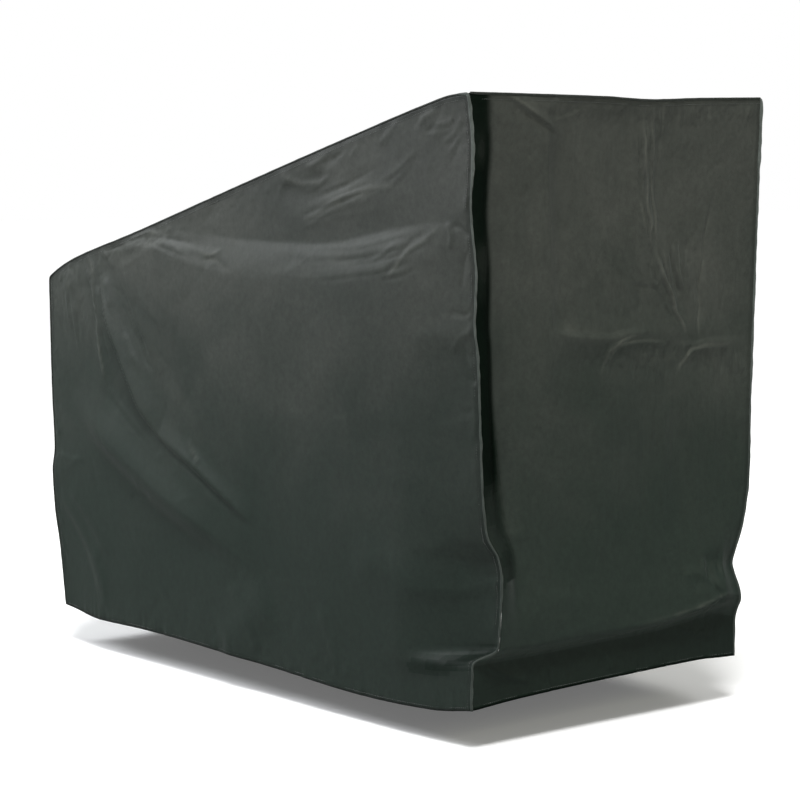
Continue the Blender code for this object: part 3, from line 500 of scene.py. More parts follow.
FRONT_SHEAVES = lines(
    Sheaf,
    (26, 0.003, 0.0014, (-0.02, 0.598), (-0.024, 0.56), (-0.03, 0.5), (0.13, 0.604), (0.124, 0.56),
     (0.116, 0.49)),
    (18, 0.0028, 0.0014, (0.07, 0.8), (0.09, 0.75), (0.12, 0.7), (0.165, 0.81), (0.168, 0.75),
     (0.172, 0.69)),
    (34, 0.003, 0.0016, (0.09, 1.048), (0.098, 1.02), (0.108, 0.99), (0.345, 1.048), (0.34, 1.022),
     (0.332, 0.99)),
    (26, 0.003, 0.0014, (0.22, 0.59), (0.224, 0.56), (0.22, 0.52), (0.34, 0.596), (0.338, 0.56),
     (0.334, 0.51)),
    (50, 0.004, 0.0011, (-0.3, 1.052), (-0.298, 1.03), (-0.29, 1.005), (0.345, 1.052), (0.34, 1.025),
     (0.336, 0.99)),
    (50, 0.004, 0.001, (0.358, 0.99), (0.34, 0.986), (0.318, 0.984), (0.358, 0.12), (0.336, 0.124),
     (0.31, 0.12)),
    (26, 0.007, 0.0009, (0.0, 0.56), (0.004, 0.42), (-0.004, 0.24), (0.32, 0.56), (0.326, 0.42),
     (0.318, 0.24)),
    (30, 0.0034, 0.0024, (0.06, 0.81), (0.08, 0.74), (0.15, 0.63), (0.2, 0.8), (0.19, 0.74),
     (0.205, 0.64)),
    (20, 0.0036, 0.0018, (0.02, 1.04), (0.03, 0.95), (0.035, 0.86), (0.11, 1.04), (0.1, 0.95),
     (0.08, 0.84)),
    (90, 0.0036, 0.0012, (-0.165, 0.63), (-0.16, 0.6), (-0.164, 0.56), (0.335, 0.6), (0.332, 0.57),
     (0.336, 0.52)),
    (40, 0.004, 0.0012, (-0.17, 0.78), (-0.172, 0.7), (-0.168, 0.64), (0.33, 0.76), (0.33, 0.69),
     (0.326, 0.61)),
    (14, 0.005, 0.0009, (-0.15, 1.04), (-0.152, 0.94), (-0.148, 0.82), (0.0, 1.04), (-0.004, 0.93),
     (-0.002, 0.8)),
    (30, 0.005, 0.001, (-0.3, 0.1), (-0.294, 0.07), (-0.3, 0.03), (0.3, 0.11), (0.296, 0.07),
     (0.3, 0.03)),
    (9, 0.006, 0.0012, (-0.24, 0.18), (-0.16, 0.16), (-0.06, 0.165), (-0.2, 0.11), (-0.1, 0.105),
     (0.02, 0.11)),
    (12, 0.005, 0.0016, (0.12, 0.21), (0.2, 0.19), (0.3, 0.184), (0.14, 0.13), (0.22, 0.13),
     (0.31, 0.15)),
)
REAR_SHEAVES = lines(
    Sheaf,
    (45, 0.0055, 0.0018, (-0.345, 0.69), (-0.342, 0.665), (-0.338, 0.64), (0.345, 0.69), (0.342, 0.66),
     (0.338, 0.63)),
    (30, 0.0055, 0.0016, (-0.358, 0.66), (-0.34, 0.658), (-0.318, 0.662), (-0.358, 0.08), (-0.336, 0.084),
     (-0.31, 0.08)),
    (30, 0.0055, 0.0016, (0.358, 0.66), (0.34, 0.658), (0.318, 0.662), (0.358, 0.08), (0.336, 0.084),
     (0.31, 0.08)),
    (26, 0.008, 0.0016, (-0.28, 0.64), (-0.22, 0.52), (-0.19, 0.33), (0.26, 0.64), (0.21, 0.5),
     (0.22, 0.3)),
)
TOP_SHEAVES = lines(
    Sheaf,
    (70, 0.0055, 0.0016, (0.06, -0.355), (0.064, -0.335), (0.06, -0.31), (1.29, -0.355), (1.286, -0.335),
     (1.29, -0.31)),
    (70, 0.0055, 0.0016, (0.06, 0.355), (0.064, 0.335), (0.06, 0.31), (1.29, 0.355), (1.286, 0.335),
     (1.29, 0.31)),
    (40, 0.0055, 0.0018, (0.004, -0.33), (0.024, -0.328), (0.05, -0.334), (0.004, 0.33), (0.024, 0.332),
     (0.05, 0.328)),
    (14, 0.008, 0.0016, (0.1, -0.28), (0.3, -0.18), (0.62, -0.08), (0.14, -0.08), (0.35, -0.04),
     (0.64, 0.0)),
    (14, 0.008, 0.0016, (0.1, 0.28), (0.3, 0.2), (0.62, 0.1), (0.14, 0.08), (0.35, 0.06), (0.64, 0.02)),
    (16, 0.007, 0.0018, (0.98, 0.04), (1.1, 0.14), (1.3, 0.32), (0.98, -0.04), (1.1, -0.12), (1.3, -0.3)),
)

FRONT_LEFT = Corner(FRONT_HEIGHT, FRONT_LEFT_SEAM)
FRONT_RIGHT = Corner(FRONT_HEIGHT, FRONT_RIGHT_SEAM)
REAR_LEFT = Corner(REAR_HEIGHT, REAR_LEFT_SEAM)
REAR_RIGHT = Corner(REAR_HEIGHT, REAR_RIGHT_SEAM)
# How the small relief of each panel is drawn; every kind of it has a seed of its own.
SIDE_CRUMPLE = Crumple(150, 0.08, 0.0008)
SIDE_SWELL = Swell(0.0024, 0.42)
SIDE_CRISP = 0.65
LEFT_DRESSING = Dressing(
    LEFT_CREASES, LEFT_PLEATS, LEFT_SHEAVES, SIDE_CRUMPLE, SIDE_SWELL, SIDE_CRISP,
    Seeds(crumple=11, swell=11, puckers=(12, 13, 14), hem=15, upper=16, sheaf=17),
)
RIGHT_DRESSING = Dressing(
    RIGHT_CREASES, (), RIGHT_SHEAVES, SIDE_CRUMPLE, SIDE_SWELL, SIDE_CRISP,
    Seeds(crumple=23, swell=23, puckers=(24, 25, 26), hem=27, upper=28, sheaf=29),
)
FRONT_DRESSING = Dressing(
    FRONT_CREASES, FRONT_PLEATS, FRONT_SHEAVES, Crumple(110, 0.07, 0.0008), Swell(0.0022, 0.34), 1.0,
    Seeds(crumple=37, swell=38, puckers=(39, 40, 41), hem=42, upper=43, sheaf=44),
)
REAR_DRESSING = Dressing(
    REAR_CREASES, (), REAR_SHEAVES, Crumple(80, 0.085, 0.0014), Swell(0.0030, 0.34), 1.0,
    Seeds(crumple=53, swell=54, puckers=(55, 56, 57), hem=58, upper=59, sheaf=60),
)
TOP_DRESSING = Dressing(
    TOP_CREASES, (), TOP_SHEAVES, Crumple(130, 0.10, 0.0014), Swell(0.0030, 0.40), 1.0,
    Seeds(crumple=61, swell=62, puckers=(63, 64), hem=None, upper=65, sheaf=66),
)
FRONT_TOP_GATHERS = (0.0009, 0.016)
TOP_FACETS_UP = 0.8
LEFT = Side(-1, FRONT_LEFT, REAR_LEFT, LEFT_HEM, LEFT_FOLDS, LEFT_LEDGE, LEFT_DRESSING, LEFT_HIGHLIGHTS)
RIGHT = Side(1, FRONT_RIGHT, REAR_RIGHT, RIGHT_HEM, RIGHT_FOLDS, RIGHT_LEDGE, RIGHT_DRESSING, ())


def curve(rows, column, at):
    """Values of a table's column, smooth between its rows and never past them."""
    keys = np.array([row[0] for row in rows])
    values = np.array([getattr(row, column) for row in rows])
    slopes = np.diff(values) / np.diff(keys)
    before = slopes[:-1]
    after = slopes[1:]
    same_way = before * after > 0
    both = np.where(same_way, before + after, 1.0)
    inner = np.where(same_way, 2 * before * after / both, 0.0)
    knots = np.concatenate([slopes[:1], inner, slopes[-1:]])
    at = np.clip(at, keys[0], keys[-1])
    left = np.clip(np.searchsorted(keys, at, side="right") - 1, 0, len(keys) - 2)
    span = keys[left + 1] - keys[left]
    t = (at - keys[left]) / span
    return (
        values[left] * (1 + 2 * t) * (1 - t) ** 2
        + values[left + 1] * t * t * (3 - 2 * t)
        + span * knots[left] * t * (1 - t) ** 2
        - span * knots[left + 1] * t * t * (1 - t)
    )


def ease(share):
    share = np.clip(share, 0.0, 1.0)
    return share * share * (3 - 2 * share)


def fade(distance, reach):
    return 1 - ease(distance / reach)


def bell(distance, half_width):
    return np.exp(-((distance / half_width) ** 2))


def least(*distances):
    return reduce(np.minimum, distances)


def ridge(distance, width, lean):
    """A narrow crest that falls off faster on one side of its line than on the other."""
    crest = np.sqrt(distance**2 + CREST**2) - CREST
    return np.exp(-crest / (width * (1 + lean * np.sign(distance))))


def tapered(share, rate, start=0.0):
    """Fades a line in and out at its two ends."""
    return ease(rate * share + start) * ease(rate * (1 - share) + start)


def along_line(points, first, second):
    """Signed distance from a polyline, and how far along it the nearest point is, from 0 to 1."""
    best = np.full(first.shape, np.inf)
    signed = np.zeros(first.shape)
    share = np.zeros(first.shape)
    runs = len(points) - 1
    for count in range(runs):
        a = points[count]
        run = points[count + 1] - a
        t = np.clip(((first - a[0]) * run[0] + (second - a[1]) * run[1]) / (run @ run), 0, 1)
        gap_first = first - a[0] - t * run[0]
        gap_second = second - a[1] - t * run[1]
        distance = np.hypot(gap_first, gap_second)
        nearer = distance < best
        side = np.sign(run[0] * gap_second - run[1] * gap_first)
        best = np.where(nearer, distance, best)
        signed = np.where(nearer, distance * side, signed)
        share = np.where(nearer, (count + t) / runs, share)
    return signed, share


def smooth_line(points, runs=6):
    """A line through the given points, rounded between them as a Catmull-Rom curve."""
    points = [np.array(point) for point in points]
    ends = [2 * points[0] - points[1], *points, 2 * points[-1] - points[-2]]
    line = []
    for i in range(1, len(ends) - 2):
        a, b, c, d = ends[i - 1 : i + 3]
        for step in range(runs):
            t = step / runs
            square = (2 * a - 5 * b + 4 * c - d) * t * t
            cube = (3 * b - a - 3 * c + d) * t**3
            line.append(0.5 * (2 * b + (c - a) * t + square + cube))
    line.append(points[-1])
    return line


def fold_relief(folds, first, second):
    """Height of the soft folds, the same as in the solids."""
    total = np.zeros(first.shape)
    for fold in folds:
        start, middle, end = np.array(fold[:3])
        control = 2 * middle - (start + end) / 2
        steps = np.linspace(0, 1, 9)
        line = [start * (1 - t) ** 2 + control * 2 * t * (1 - t) + end * t * t for t in steps]
        distance, share = along_line(line, first, second)
        ends = ease(4 * np.minimum(share, 1 - share) + 0.1)
        total += fold.rise * bell(distance, fold.half_width) * ends
    return total


def crease_relief(creases, first, second):
    """Height of the sharp creases."""
    total = np.zeros(first.shape)
    for crease in creases:
        distance, share = along_line(smooth_line(crease.points), first, second)
        total += crease.rise * ridge(distance, crease.width, crease.lean) * tapered(share, 5, 0.05)
    return total


def pleat_relief(pleats, first, second):
    """Height of long pleats: a slow slope on one side of each line and a short step on the other."""
    total = np.zeros(first.shape)
    for pleat in pleats:
        distance, share = along_line(smooth_line(pleat.points), first, second)
        slope = np.clip(1 + distance / pleat.slow, 0, 1) ** 1.7
        step = fade(distance, pleat.quick)
        total += pleat.rise * np.where(distance < 0, slope, step) * tapered(share, 3.5)
    return total


def painted_highlight_lines(seed, rows, first, second):
    """How strong the painted highlight is along each line, broken up in patches as highlights are on real
    folds.
    """
    total = np.zeros(first.shape)
    for row in rows:
        distance, share = along_line(smooth_line(row.points), first, second)
        total = np.maximum(total, row.strength * bell(distance, row.width) * tapered(share, 4))
    patchy = 0.25 + 1.5 * value_noise(seed, first, second, 0.028)
    return total * patchy


def sheaf_creases(seed, sheaves):
    """Single wrinkles drawn at random between the two guide lines of each sheaf."""
    random = np.random.default_rng(seed)
    creases = []
    for sheaf in sheaves:
        half = len(sheaf.points) // 2
        first = np.array(smooth_line(sheaf.points[:half], 4))
        last = np.array(smooth_line(sheaf.points[half:], 4))
        for _ in range(sheaf.count):
            share = random.random()
            drift = random.uniform(-0.06, 0.06)
            shares = np.clip(share + drift * np.linspace(0, 1, len(first)), 0, 1)[:, None]
            line = first * (1 - shares) + last * shares
            start = int(random.uniform(0, 0.45) * len(line))
            stop = int(random.uniform(0.6, 1.0) * len(line))
            rise = sheaf.rise * random.uniform(0.35, 1.0) * random.choice((-1, 1, 1))
            width = sheaf.width * random.uniform(0.6, 1.3)
            lean = random.uniform(-0.6, 0.6)
            creases.append(Crease(width, rise, lean, line[start : max(stop, start + 3)]))
    return creases


def sheaf_relief(seed, sheaves, first, second):
    """Height of the fine wrinkles, each worked out only where it lies."""
    total = np.zeros(first.shape)
    for crease in sheaf_creases(seed, sheaves):
        low = crease.points.min(0) - 6 * crease.width
        high = crease.points.max(0) + 6 * crease.width
        near = (first > low[0]) & (first < high[0]) & (second > low[1]) & (second < high[1])
        if near.any():
            distance, share = along_line(crease.points, first[near], second[near])
            shape = ridge(distance, crease.width, crease.lean)
            total[near] += crease.rise * shape * tapered(share, 4)
    return total


def crumple_relief(seed, first, second, count, size, rise):
    """Many faint short creases in no order, as soft coated cloth keeps from being folded away."""
    random = np.random.default_rng(seed)
    low = np.array([first.min(), second.min()])
    high = np.array([first.max(), second.max()])
    margin = 0.08
    total = np.zeros(first.shape)
    for _ in range(count):
        middle = low + random.random(2) * (high - low)
        angle = random.uniform(0, math.pi)
        half = random.uniform(0.4, 1.0) * size
        bend = random.uniform(-0.25, 0.25) * half
        width = random.uniform(0.004, 0.011)
        height = random.uniform(-1.0, 1.0) * rise
        lean = random.uniform(-0.6, 0.6)
        direction = np.array([math.cos(angle), math.sin(angle)])
        across = np.array([-direction[1], direction[0]])
        points = (middle - direction * half, middle + across * bend, middle + direction * half)
        reach = half + margin
        near = (np.abs(first - middle[0]) < reach) & (np.abs(second - middle[1]) < reach)
        if near.any():
            distance, share = along_line(smooth_line(points, 3), first[near], second[near])
            ends = ease(2.5 * np.minimum(share, 1 - share))
            total[near] += height * ridge(distance, width, lean) * ends
    return total


def swell(seed, first, second, rise, size):
    """Slow uneven swelling of slack cloth."""
    random = np.random.default_rng(seed)
    waves = 7
    total = np.zeros(first.shape)
    for _ in range(waves):
        angle = random.uniform(0, math.pi)
        length = size * random.uniform(0.6, 1.7)
        phase = random.uniform(0, 2 * math.pi)
        travel = first * math.cos(angle) + second * math.sin(angle)
        total += np.sin(2 * math.pi * travel / length + phase)
    return total * rise / waves


def value_noise(seed, first, second, size):
    """Smooth random values between 0 and 1 on a lattice of one size."""
    random = np.random.default_rng(seed)
    origin = 3.0
    u = (first + origin) / size
    v = (second + origin) / size
    column = np.floor(u).astype(int)
    row = np.floor(v).astype(int)
    lattice = random.random((int(column.max()) + 2, int(row.max()) + 2))
    s = ease(u - column)
    t = ease(v - row)
    lower = lattice[column, row] * (1 - s) + lattice[column + 1, row] * s
    upper = lattice[column, row + 1] * (1 - s) + lattice[column + 1, row + 1] * s
    return lower * (1 - t) + upper * t


def facets(seed, first, second, size, rise):
    """Small flat facets with crisp edges, as coated cloth shows where it was crumpled."""
    random = np.random.default_rng(seed)
    bend = size * 0.9
    bend_size = size * 1.3
    bend_first = first + bend * (value_noise(seed + 1, first, second, bend_size) - 0.5)
    bend_second = second + bend * (value_noise(seed + 2, first, second, bend_size) - 0.5)
    layers = 5
    total = np.zeros(first.shape)
    for _ in range(layers):
        angle = random.uniform(0, math.pi)
        length = size * random.uniform(0.7, 1.8)
        travel = (bend_first * math.cos(angle) + bend_second * math.sin(angle)) / length
        travel = travel + random.random()
        total += np.sqrt((2 * np.abs(travel - np.floor(travel) - 0.5)) ** 2 + 0.01) * length / size
    return rise * (total / layers - 0.55)


def upper_crumple(seed, first, up, from_top):
    """Facets that are strong near the top seam and die away in the smooth lower half."""
    near_top = fade(from_top, 0.16)
    upper_half = 0.45 * ease((up - 0.35) / 0.4)
    everywhere = 0.12
    patchy = 0.35 + 1.3 * value_noise(seed + 7, first, up, 0.17)
    large = facets(seed, first, up, size=0.062, rise=0.0016)
    small = facets(seed + 3, first, up, size=0.029, rise=0.0008)
    return (near_top + upper_half + everywhere) * patchy * (large + small)


def pucker(seed, distance, along, rise=0.0007, reach=0.012):
    """Small gathers that a sewn edge pulls into the cloth beside it."""
    random = np.random.default_rng(seed)
    wave = np.zeros(along.shape)
    usual_length = 0.041
    patch_length = 0.23
    for length in (0.013, 0.019, 0.027, usual_length, 0.066):
        phase = random.uniform(0, 2 * math.pi)
        wave += np.sin(2 * math.pi * along / length + phase) * (length / usual_length) ** 0.5
    strength = 0.6 + 0.4 * np.sin(2 * math.pi * along / patch_length + random.uniform(0, 6))
    return rise * wave * strength * np.exp(-np.maximum(distance, 0) / reach) / 2


def ledge_relief(ledge, back, up):
    """The swag below a slack line: a slope outwards, crisp along its upper side, then a long return."""
    level = curve(ledge, "up", back)
    spread = curve(ledge, "spread", back)
    share = np.clip((level + spread - up) / (2 * spread), 0.0, 1.0)
    crisp_top = 1 - (1 - share) ** 1.6
    crisp_bottom = share**1.5
    turn = ease((back - LEDGE_TURN + LEDGE_TURN_REACH) / (2 * LEDGE_TURN_REACH))
    below = crisp_top * (1 - turn) + crisp_bottom * turn
    return curve(ledge, "rise", back) * below * bell(np.maximum(level - spread - up, 0.0), LEDGE_DROP)


def hem_relief(seed, over_hem, along):
    """The turned-up hem: two layers thick, drawn in along its row of stitches."""
    layer = HEM_RISE * fade(over_hem - HEM_DEPTH, 0.003)
    groove = -HEM_RISE * bell(over_hem - HEM_STITCH, 0.0026)
    from_stitch = np.abs(over_hem - HEM_DEPTH * 0.8)
    return layer + groove + pucker(seed, from_stitch, along, rise=0.0008, reach=0.014)


def fine_relief(dressing, first, second, upper, edges, from_seam):
    """All the small relief of a panel, held still along its seams.

    upper is where the facets lie: two coordinates and the distance from the top seam. Each of
    edges is the distance from a sewn edge, the distance along it, and where it isn't the usual
    one, the rise and the reach of its gathers.
    """
    seeds = dressing.seeds
    small = crease_relief(dressing.creases, first, second) + pleat_relief(dressing.pleats, first, second)
    small += sheaf_relief(seeds.sheaf, dressing.sheaves, first, second)
    small += crumple_relief(seeds.crumple, first, second, *dressing.crumple)
    small += swell(seeds.swell, first, second, *dressing.swell)
    small += dressing.crisp * upper_crumple(seeds.upper, *upper)
    for seed, edge in zip(seeds.puckers, edges):
        small += pucker(seed, *edge)
    return small * ease(from_seam / SEAM_GRIP)


def seam_shift(corner, share):
    up = share * corner.height
    return curve(corner.rows, "forward", up), curve(corner.rows, "inward", up)


def side_surface(side, back, share, fine=True):
    """Points of a side panel at distances back and shares of the height there."""
    at_front = fade(back, SEAM_REACH)
    at_rear = fade(LENGTH - back, SEAM_REACH)
    front_forward, front_inward = seam_shift(side.front, share)
    rear_forward, rear_inward = seam_shift(side.rear, share)
    hem = curve(side.hem, "up", back)
    top = curve(SLOPE, "up", back)
    up = hem + share * (top - hem)
    from_seam = least(back, LENGTH - back, top - up)
    slack = fold_relief(side.folds, back, up) + ledge_relief(side.ledge, back, up)
    outward = slack * ease(from_seam / FOLD_FADE)
    if fine:
        edges = ((top - up, back), (back, up), (LENGTH - back, up))
        outward += fine_relief(side.dressing, back, up, (back, up, top - up), edges, from_seam)
        outward += hem_relief(side.dressing.seeds.hem, up - hem, back)
    inward = front_inward * at_front + rear_inward * at_rear
    shifted_back = back - front_forward * at_front - rear_forward * at_rear
    return shifted_back, side.sign * (HALF_WIDTH - inward + outward), up


def front_surface(across, share, fine=True):
    """Points of the front panel at distances across and shares of the height there."""
    from_left = across + HALF_WIDTH
    from_right = HALF_WIDTH - across
    left_forward, left_inward = seam_shift(FRONT_LEFT, share)
    right_forward, right_inward = seam_shift(FRONT_RIGHT, share)
    nominal = share * FRONT_HEIGHT
    from_top = FRONT_HEIGHT - nominal
    hem = curve(FRONT_HEM, "up", across)
    top = FRONT_HEIGHT + curve(FRONT_SEAM_SAG, "up", across)
    lip_rise = curve(LIP_ACROSS, "rise", across) * bell(nominal - LIP_UP, LIP_SPREAD)
    up = hem + share * (top - hem) + lip_rise * np.minimum(nominal / LIP_UP, 1.0)
    belly = curve(LIP, "forward", nominal) * curve(LIP_ACROSS, "share", across)
    hollow = FRONT_HOLLOW * ease(nominal / 0.4) * np.cos(math.pi * across / WIDTH)
    from_seam = least(from_left, from_right, from_top)
    free = belly - hollow + fold_relief(FRONT_FOLDS, across, nominal) * ease(from_seam / FOLD_FADE)
    free = free * (1 - fade(from_top, FOLD_FADE))
    at_left = fade(from_left, LIP_REACH)
    at_right = fade(from_right, LIP_REACH)
    forward = free * (1 - at_left - at_right) + left_forward * at_left + right_forward * at_right
    if fine:
        edges = ((from_top, across, *FRONT_TOP_GATHERS), (from_left, nominal), (from_right, nominal))
        upper = (across, nominal, from_top)
        forward += fine_relief(FRONT_DRESSING, across, nominal, upper, edges, from_seam)
        forward += hem_relief(FRONT_DRESSING.seeds.hem, nominal, across)
    shifted = across + left_inward * fade(from_left, SEAM_REACH)
    shifted = shifted - right_inward * fade(from_right, SEAM_REACH)
    return -forward, shifted, up


def rear_surface(across, share, fine=True):
    """Points of the rear panel at distances across and shares of the height there."""
    from_left = across + HALF_WIDTH
    from_right = HALF_WIDTH - across
    at_left = fade(from_left, SEAM_REACH)
    at_right = fade(from_right, SEAM_REACH)
    left_forward, left_inward = seam_shift(REAR_LEFT, share)
    right_forward, right_inward = seam_shift(REAR_RIGHT, share)
    middle_forward = (left_forward + right_forward) / 2
    hem = curve(REAR_HEM, "up", across)
    top = REAR_HEIGHT + curve(REAR_SEAM_SAG, "up", across)
    up = hem + share * (top - hem)
    from_seam = least(from_left, from_right, top - up)
    outward = fold_relief(REAR_FOLDS, across, up) * ease(from_seam / FOLD_FADE)
    if fine:
        edges = ((top - up, across), (from_left, up), (from_right, up))
        outward += fine_relief(REAR_DRESSING, across, up, (across, up, top - up), edges, from_seam)
        outward += hem_relief(REAR_DRESSING.seeds.hem, up - hem, across)
    forward = middle_forward * (1 - at_left - at_right) + left_forward * at_left + right_forward * at_right
    shifted = across + left_inward * at_left - right_inward * at_right
    return LENGTH - forward + outward, shifted, up


def top_surface(back, across, fine=True):
    """Points of the top panel at distances back and across."""
    from_side = HALF_WIDTH - np.abs(across)
    from_end = np.minimum(back, LENGTH - back)
    from_seam = least(from_side, back, LENGTH - back)
    sag = curve(FRONT_SEAM_SAG, "up", across) * fade(back, SEAM_REACH)
    sag = sag + curve(REAR_SEAM_SAG, "up", across) * fade(LENGTH - back, SEAM_REACH)
    crown = curve(TOP_CROWN, "rise", back) * np.cos(math.pi * across / WIDTH)
    relief = fold_relief(TOP_FOLDS, back, across) * ease(from_seam / FOLD_FADE)
    up = curve(SLOPE, "up", back) + sag + crown + relief
    if fine:
        upper = (back, across + TOP_FACETS_UP, from_side)
        edges = ((from_side, back), (from_end, across))
        up += fine_relief(TOP_DRESSING, back, across, upper, edges, from_seam)
    return back, across, up


def support_up():
    """Height over the hem of the solid top panel's underside at the handlebar support."""
    middle = top_surface(np.array([SUPPORT_BACK]), np.zeros(1), fine=False)
    return float(middle[2][0]) - SOLID_CLOTH / 2


SUPPORT_UP = support_up()


def place(back, across, up):
    """Points of the cover in the part's frame."""
    back, across, up = np.broadcast_arrays(back, across, up)
    return np.stack([SUPPORT_BACK - back, across, up - SUPPORT_UP], axis=-1)


def divide(*stretches):
    """Grid positions from 0; a stretch is where it ends and how many steps it has."""
    positions = [0.0]
    for end, steps in stretches:
        start = positions[-1]
        step = (end - start) / steps
        positions += [start + step * count for count in range(1, steps + 1)]
    return np.array(positions)


SIDE_BACKS = divide((0.06, 16), (0.30, 46), (0.90, 82), (1.31, 84), (LENGTH, 10))
SIDE_SHARES = divide((0.024, 8), (0.300, 30), (0.520, 34), (FRONT_HEIGHT, 130)) / FRONT_HEIGHT
PLAIN_BACKS = divide((0.06, 10), (1.28, 150), (LENGTH, 10))
PLAIN_SHARES = divide((0.030, 8), (0.30, 40), (FRONT_HEIGHT, 90)) / FRONT_HEIGHT
FRONT_COLUMNS = ((0.05, 14), (0.21, 40), (0.40, 42), (0.54, 66), (0.64, 24), (WIDTH, 24))
FRONT_ROWS = ((0.024, 8), (0.140, 26), (0.300, 18), (0.540, 24), (0.660, 40), (FRONT_HEIGHT, 112))
FRONT_ACROSS = divide(*FRONT_COLUMNS) - HALF_WIDTH
FRONT_SHARES = divide(*FRONT_ROWS) / FRONT_HEIGHT
REAR_ACROSS = divide((0.05, 10), (0.67, 96), (WIDTH, 10)) - HALF_WIDTH


def linked(name, data):
    made = bpy.data.objects.new(name, data)
    bpy.context.scene.collection.objects.link(made)
    return made


def mark_points(mesh, name, values):
    mark = mesh.attributes.new(name, "FLOAT", "POINT")
    mark.data.foreach_set("value", values.reshape(-1).astype(np.float32))


def fabric_mesh(name, points, uv_first, uv_second, doubled_and_shade, pale=None):
    """A grid of points as thin cloth, marked where it is doubled and where shade is painted, and where
    highlights are painted pale.
    """
    rows, columns = points.shape[:2]
    index = np.arange(rows * columns).reshape(rows, columns)
    corners = np.stack([index[:-1, :-1], index[:-1, 1:], index[1:, 1:], index[1:, :-1]], axis=-1)
    corners = corners.reshape(-1, 4)
    mesh = bpy.data.meshes.new(name)
    mesh.from_pydata(points.reshape(-1, 3).tolist(), [], corners.tolist())
    uv = mesh.uv_layers.new(name="cloth")
    flat = np.stack([uv_first, uv_second], axis=-1).reshape(-1, 2)
    uv.data.foreach_set("uv", flat[corners.reshape(-1)].astype(np.float32).reshape(-1))
    mark_points(mesh, "doubled_and_shade", doubled_and_shade)
    if pale is not None:
        mark_points(mesh, "pale", pale)
    mesh.polygons.foreach_set("use_smooth", np.ones(len(corners), bool))
    mesh.update()
    piece = linked(name, mesh)
    thickness = piece.modifiers.new("thickness", "SOLIDIFY")
    thickness.thickness = CLOTH
    thickness.offset = 0.0
    return piece


# Materials


def feed(tree, made, inputs):
    """Sets a node's inputs: each is a plain value, or the socket that feeds it."""
    for key, value in inputs.items():
        if isinstance(value, bpy.types.NodeSocket):
            tree.links.new(value, made.inputs[key])
        else:
            made.inputs[key].default_value = value


def node(tree, kind, inputs=None, **settings):
    made = tree.nodes.new(kind)
    for key, value in settings.items():
        setattr(made, key, value)
    feed(tree, made, inputs or {})
    return made


def ramp(tree, value, start=0.0, stop=1.0, low=0.0, high=1.0, **settings):
    """A value that runs from low to high while the one given runs from start to stop."""
    inputs = {"Value": value, "From Min": start, "From Max": stop, "To Min": low, "To Max": high}
    return node(tree, "ShaderNodeMapRange", inputs, **settings).outputs["Result"]


def mixed(tree, first, second, factor, **settings):
    inputs = {"A": first, "B": second, "Factor": factor}
    return node(tree, "ShaderNodeMix", inputs, data_type="RGBA", **settings).outputs["Result"]


def noise(tree, place_at, scale, detail, **inputs):
    inputs = {"Vector": place_at, "Scale": scale, "Detail": detail, **inputs}
    return node(tree, "ShaderNodeTexNoise", inputs).outputs["Fac"]


def point_value(tree, name):
    return node(tree, "ShaderNodeAttribute", attribute_name=name).outputs["Fac"]


def shader_material(name):
    material = bpy.data.materials.new(name)
    material.use_nodes = True
    tree = material.node_tree
    return material, tree, tree.nodes["Principled BSDF"]


def cover_material(name, single, double_and_shade, dusty, low, alpha, gloss, sheen):
    """Coated plain-weave cloth: slightly sheer, fine weave, cloudy tone, painted shade that makes it darker
    and greener low down, and painted highlights and painted shade from the marks on its points.
    """
    material, tree, shader = shader_material(name)
    place_at = node(tree, "ShaderNodeTexCoord").outputs["Object"]
    clouds = noise(tree, place_at, 4.6, 5.0, Roughness=0.58, Distortion=0.5)
    tone = mixed(tree, single, dusty, ramp(tree, clouds, 0.32, 0.70))
    # Painted shade: the colour turns darker and greener towards the bottom of the cover.
    height = node(tree, "ShaderNodeSeparateXYZ", {"Vector": place_at}).outputs["Z"]
    drift = node(tree, "ShaderNodeMath", {0: clouds, 1: 0.45, 2: height}, operation="MULTIPLY_ADD")
    low_shade_share = ramp(tree, drift.outputs[0], 0.14, -0.66, interpolation_type="SMOOTHSTEP")
    colour = mixed(tree, tone, low, low_shade_share)
    # Painted highlights along the crests of folds and creases, from the points' pale mark.
    colour = mixed(tree, colour, PAINTED_HIGHLIGHT, point_value(tree, "pale"))
    # Near-black where the cloth is doubled and where shade is painted.
    colour = mixed(tree, colour, double_and_shade, point_value(tree, "doubled_and_shade"))

    uv = node(tree, "ShaderNodeUVMap", uv_map="cloth").outputs["UV"]
    weave_size = {"Vector": uv, "Scale": 330.0, "Distortion": 0.25, "Detail": 0.0}
    warp, weft = (node(tree, "ShaderNodeTexWave", weave_size, bands_direction=way) for way in "XY")
    threads = {0: warp.outputs["Fac"], 1: weft.outputs["Fac"]}
    weave = node(tree, "ShaderNodeMath", threads, operation="MAXIMUM").outputs[0]
    grain = ramp(tree, noise(tree, place_at, 95.0, 6.0, Roughness=0.75), 0.30, 0.70, 0.78, 1.22)
    colour = mixed(tree, colour, grain, 1.0, blend_type="MULTIPLY")
    colour = mixed(tree, colour, ramp(tree, weave, low=0.55), 0.30, blend_type="MULTIPLY")

    crinkle = noise(tree, place_at, 46.0, 3.0)
    soft = {"Strength": 0.35, "Distance": 0.0012, "Height": crinkle}
    crinkled = node(tree, "ShaderNodeBump", soft).outputs["Normal"]
    fine = {"Strength": 0.25, "Distance": 0.0002, "Height": weave, "Normal": crinkled}
    feed(tree, shader, {
        "Base Color": colour,
        "Roughness": ramp(tree, clouds, low=0.46, high=0.62),
        "Normal": node(tree, "ShaderNodeBump", fine).outputs["Normal"],
        "Sheen Weight": sheen,
        "Sheen Roughness": 0.38,
        "Sheen Tint": (0.80, 0.86, 0.82, 1.0),
        "Specular IOR Level": gloss,
        "Alpha": alpha,
    })
    return material


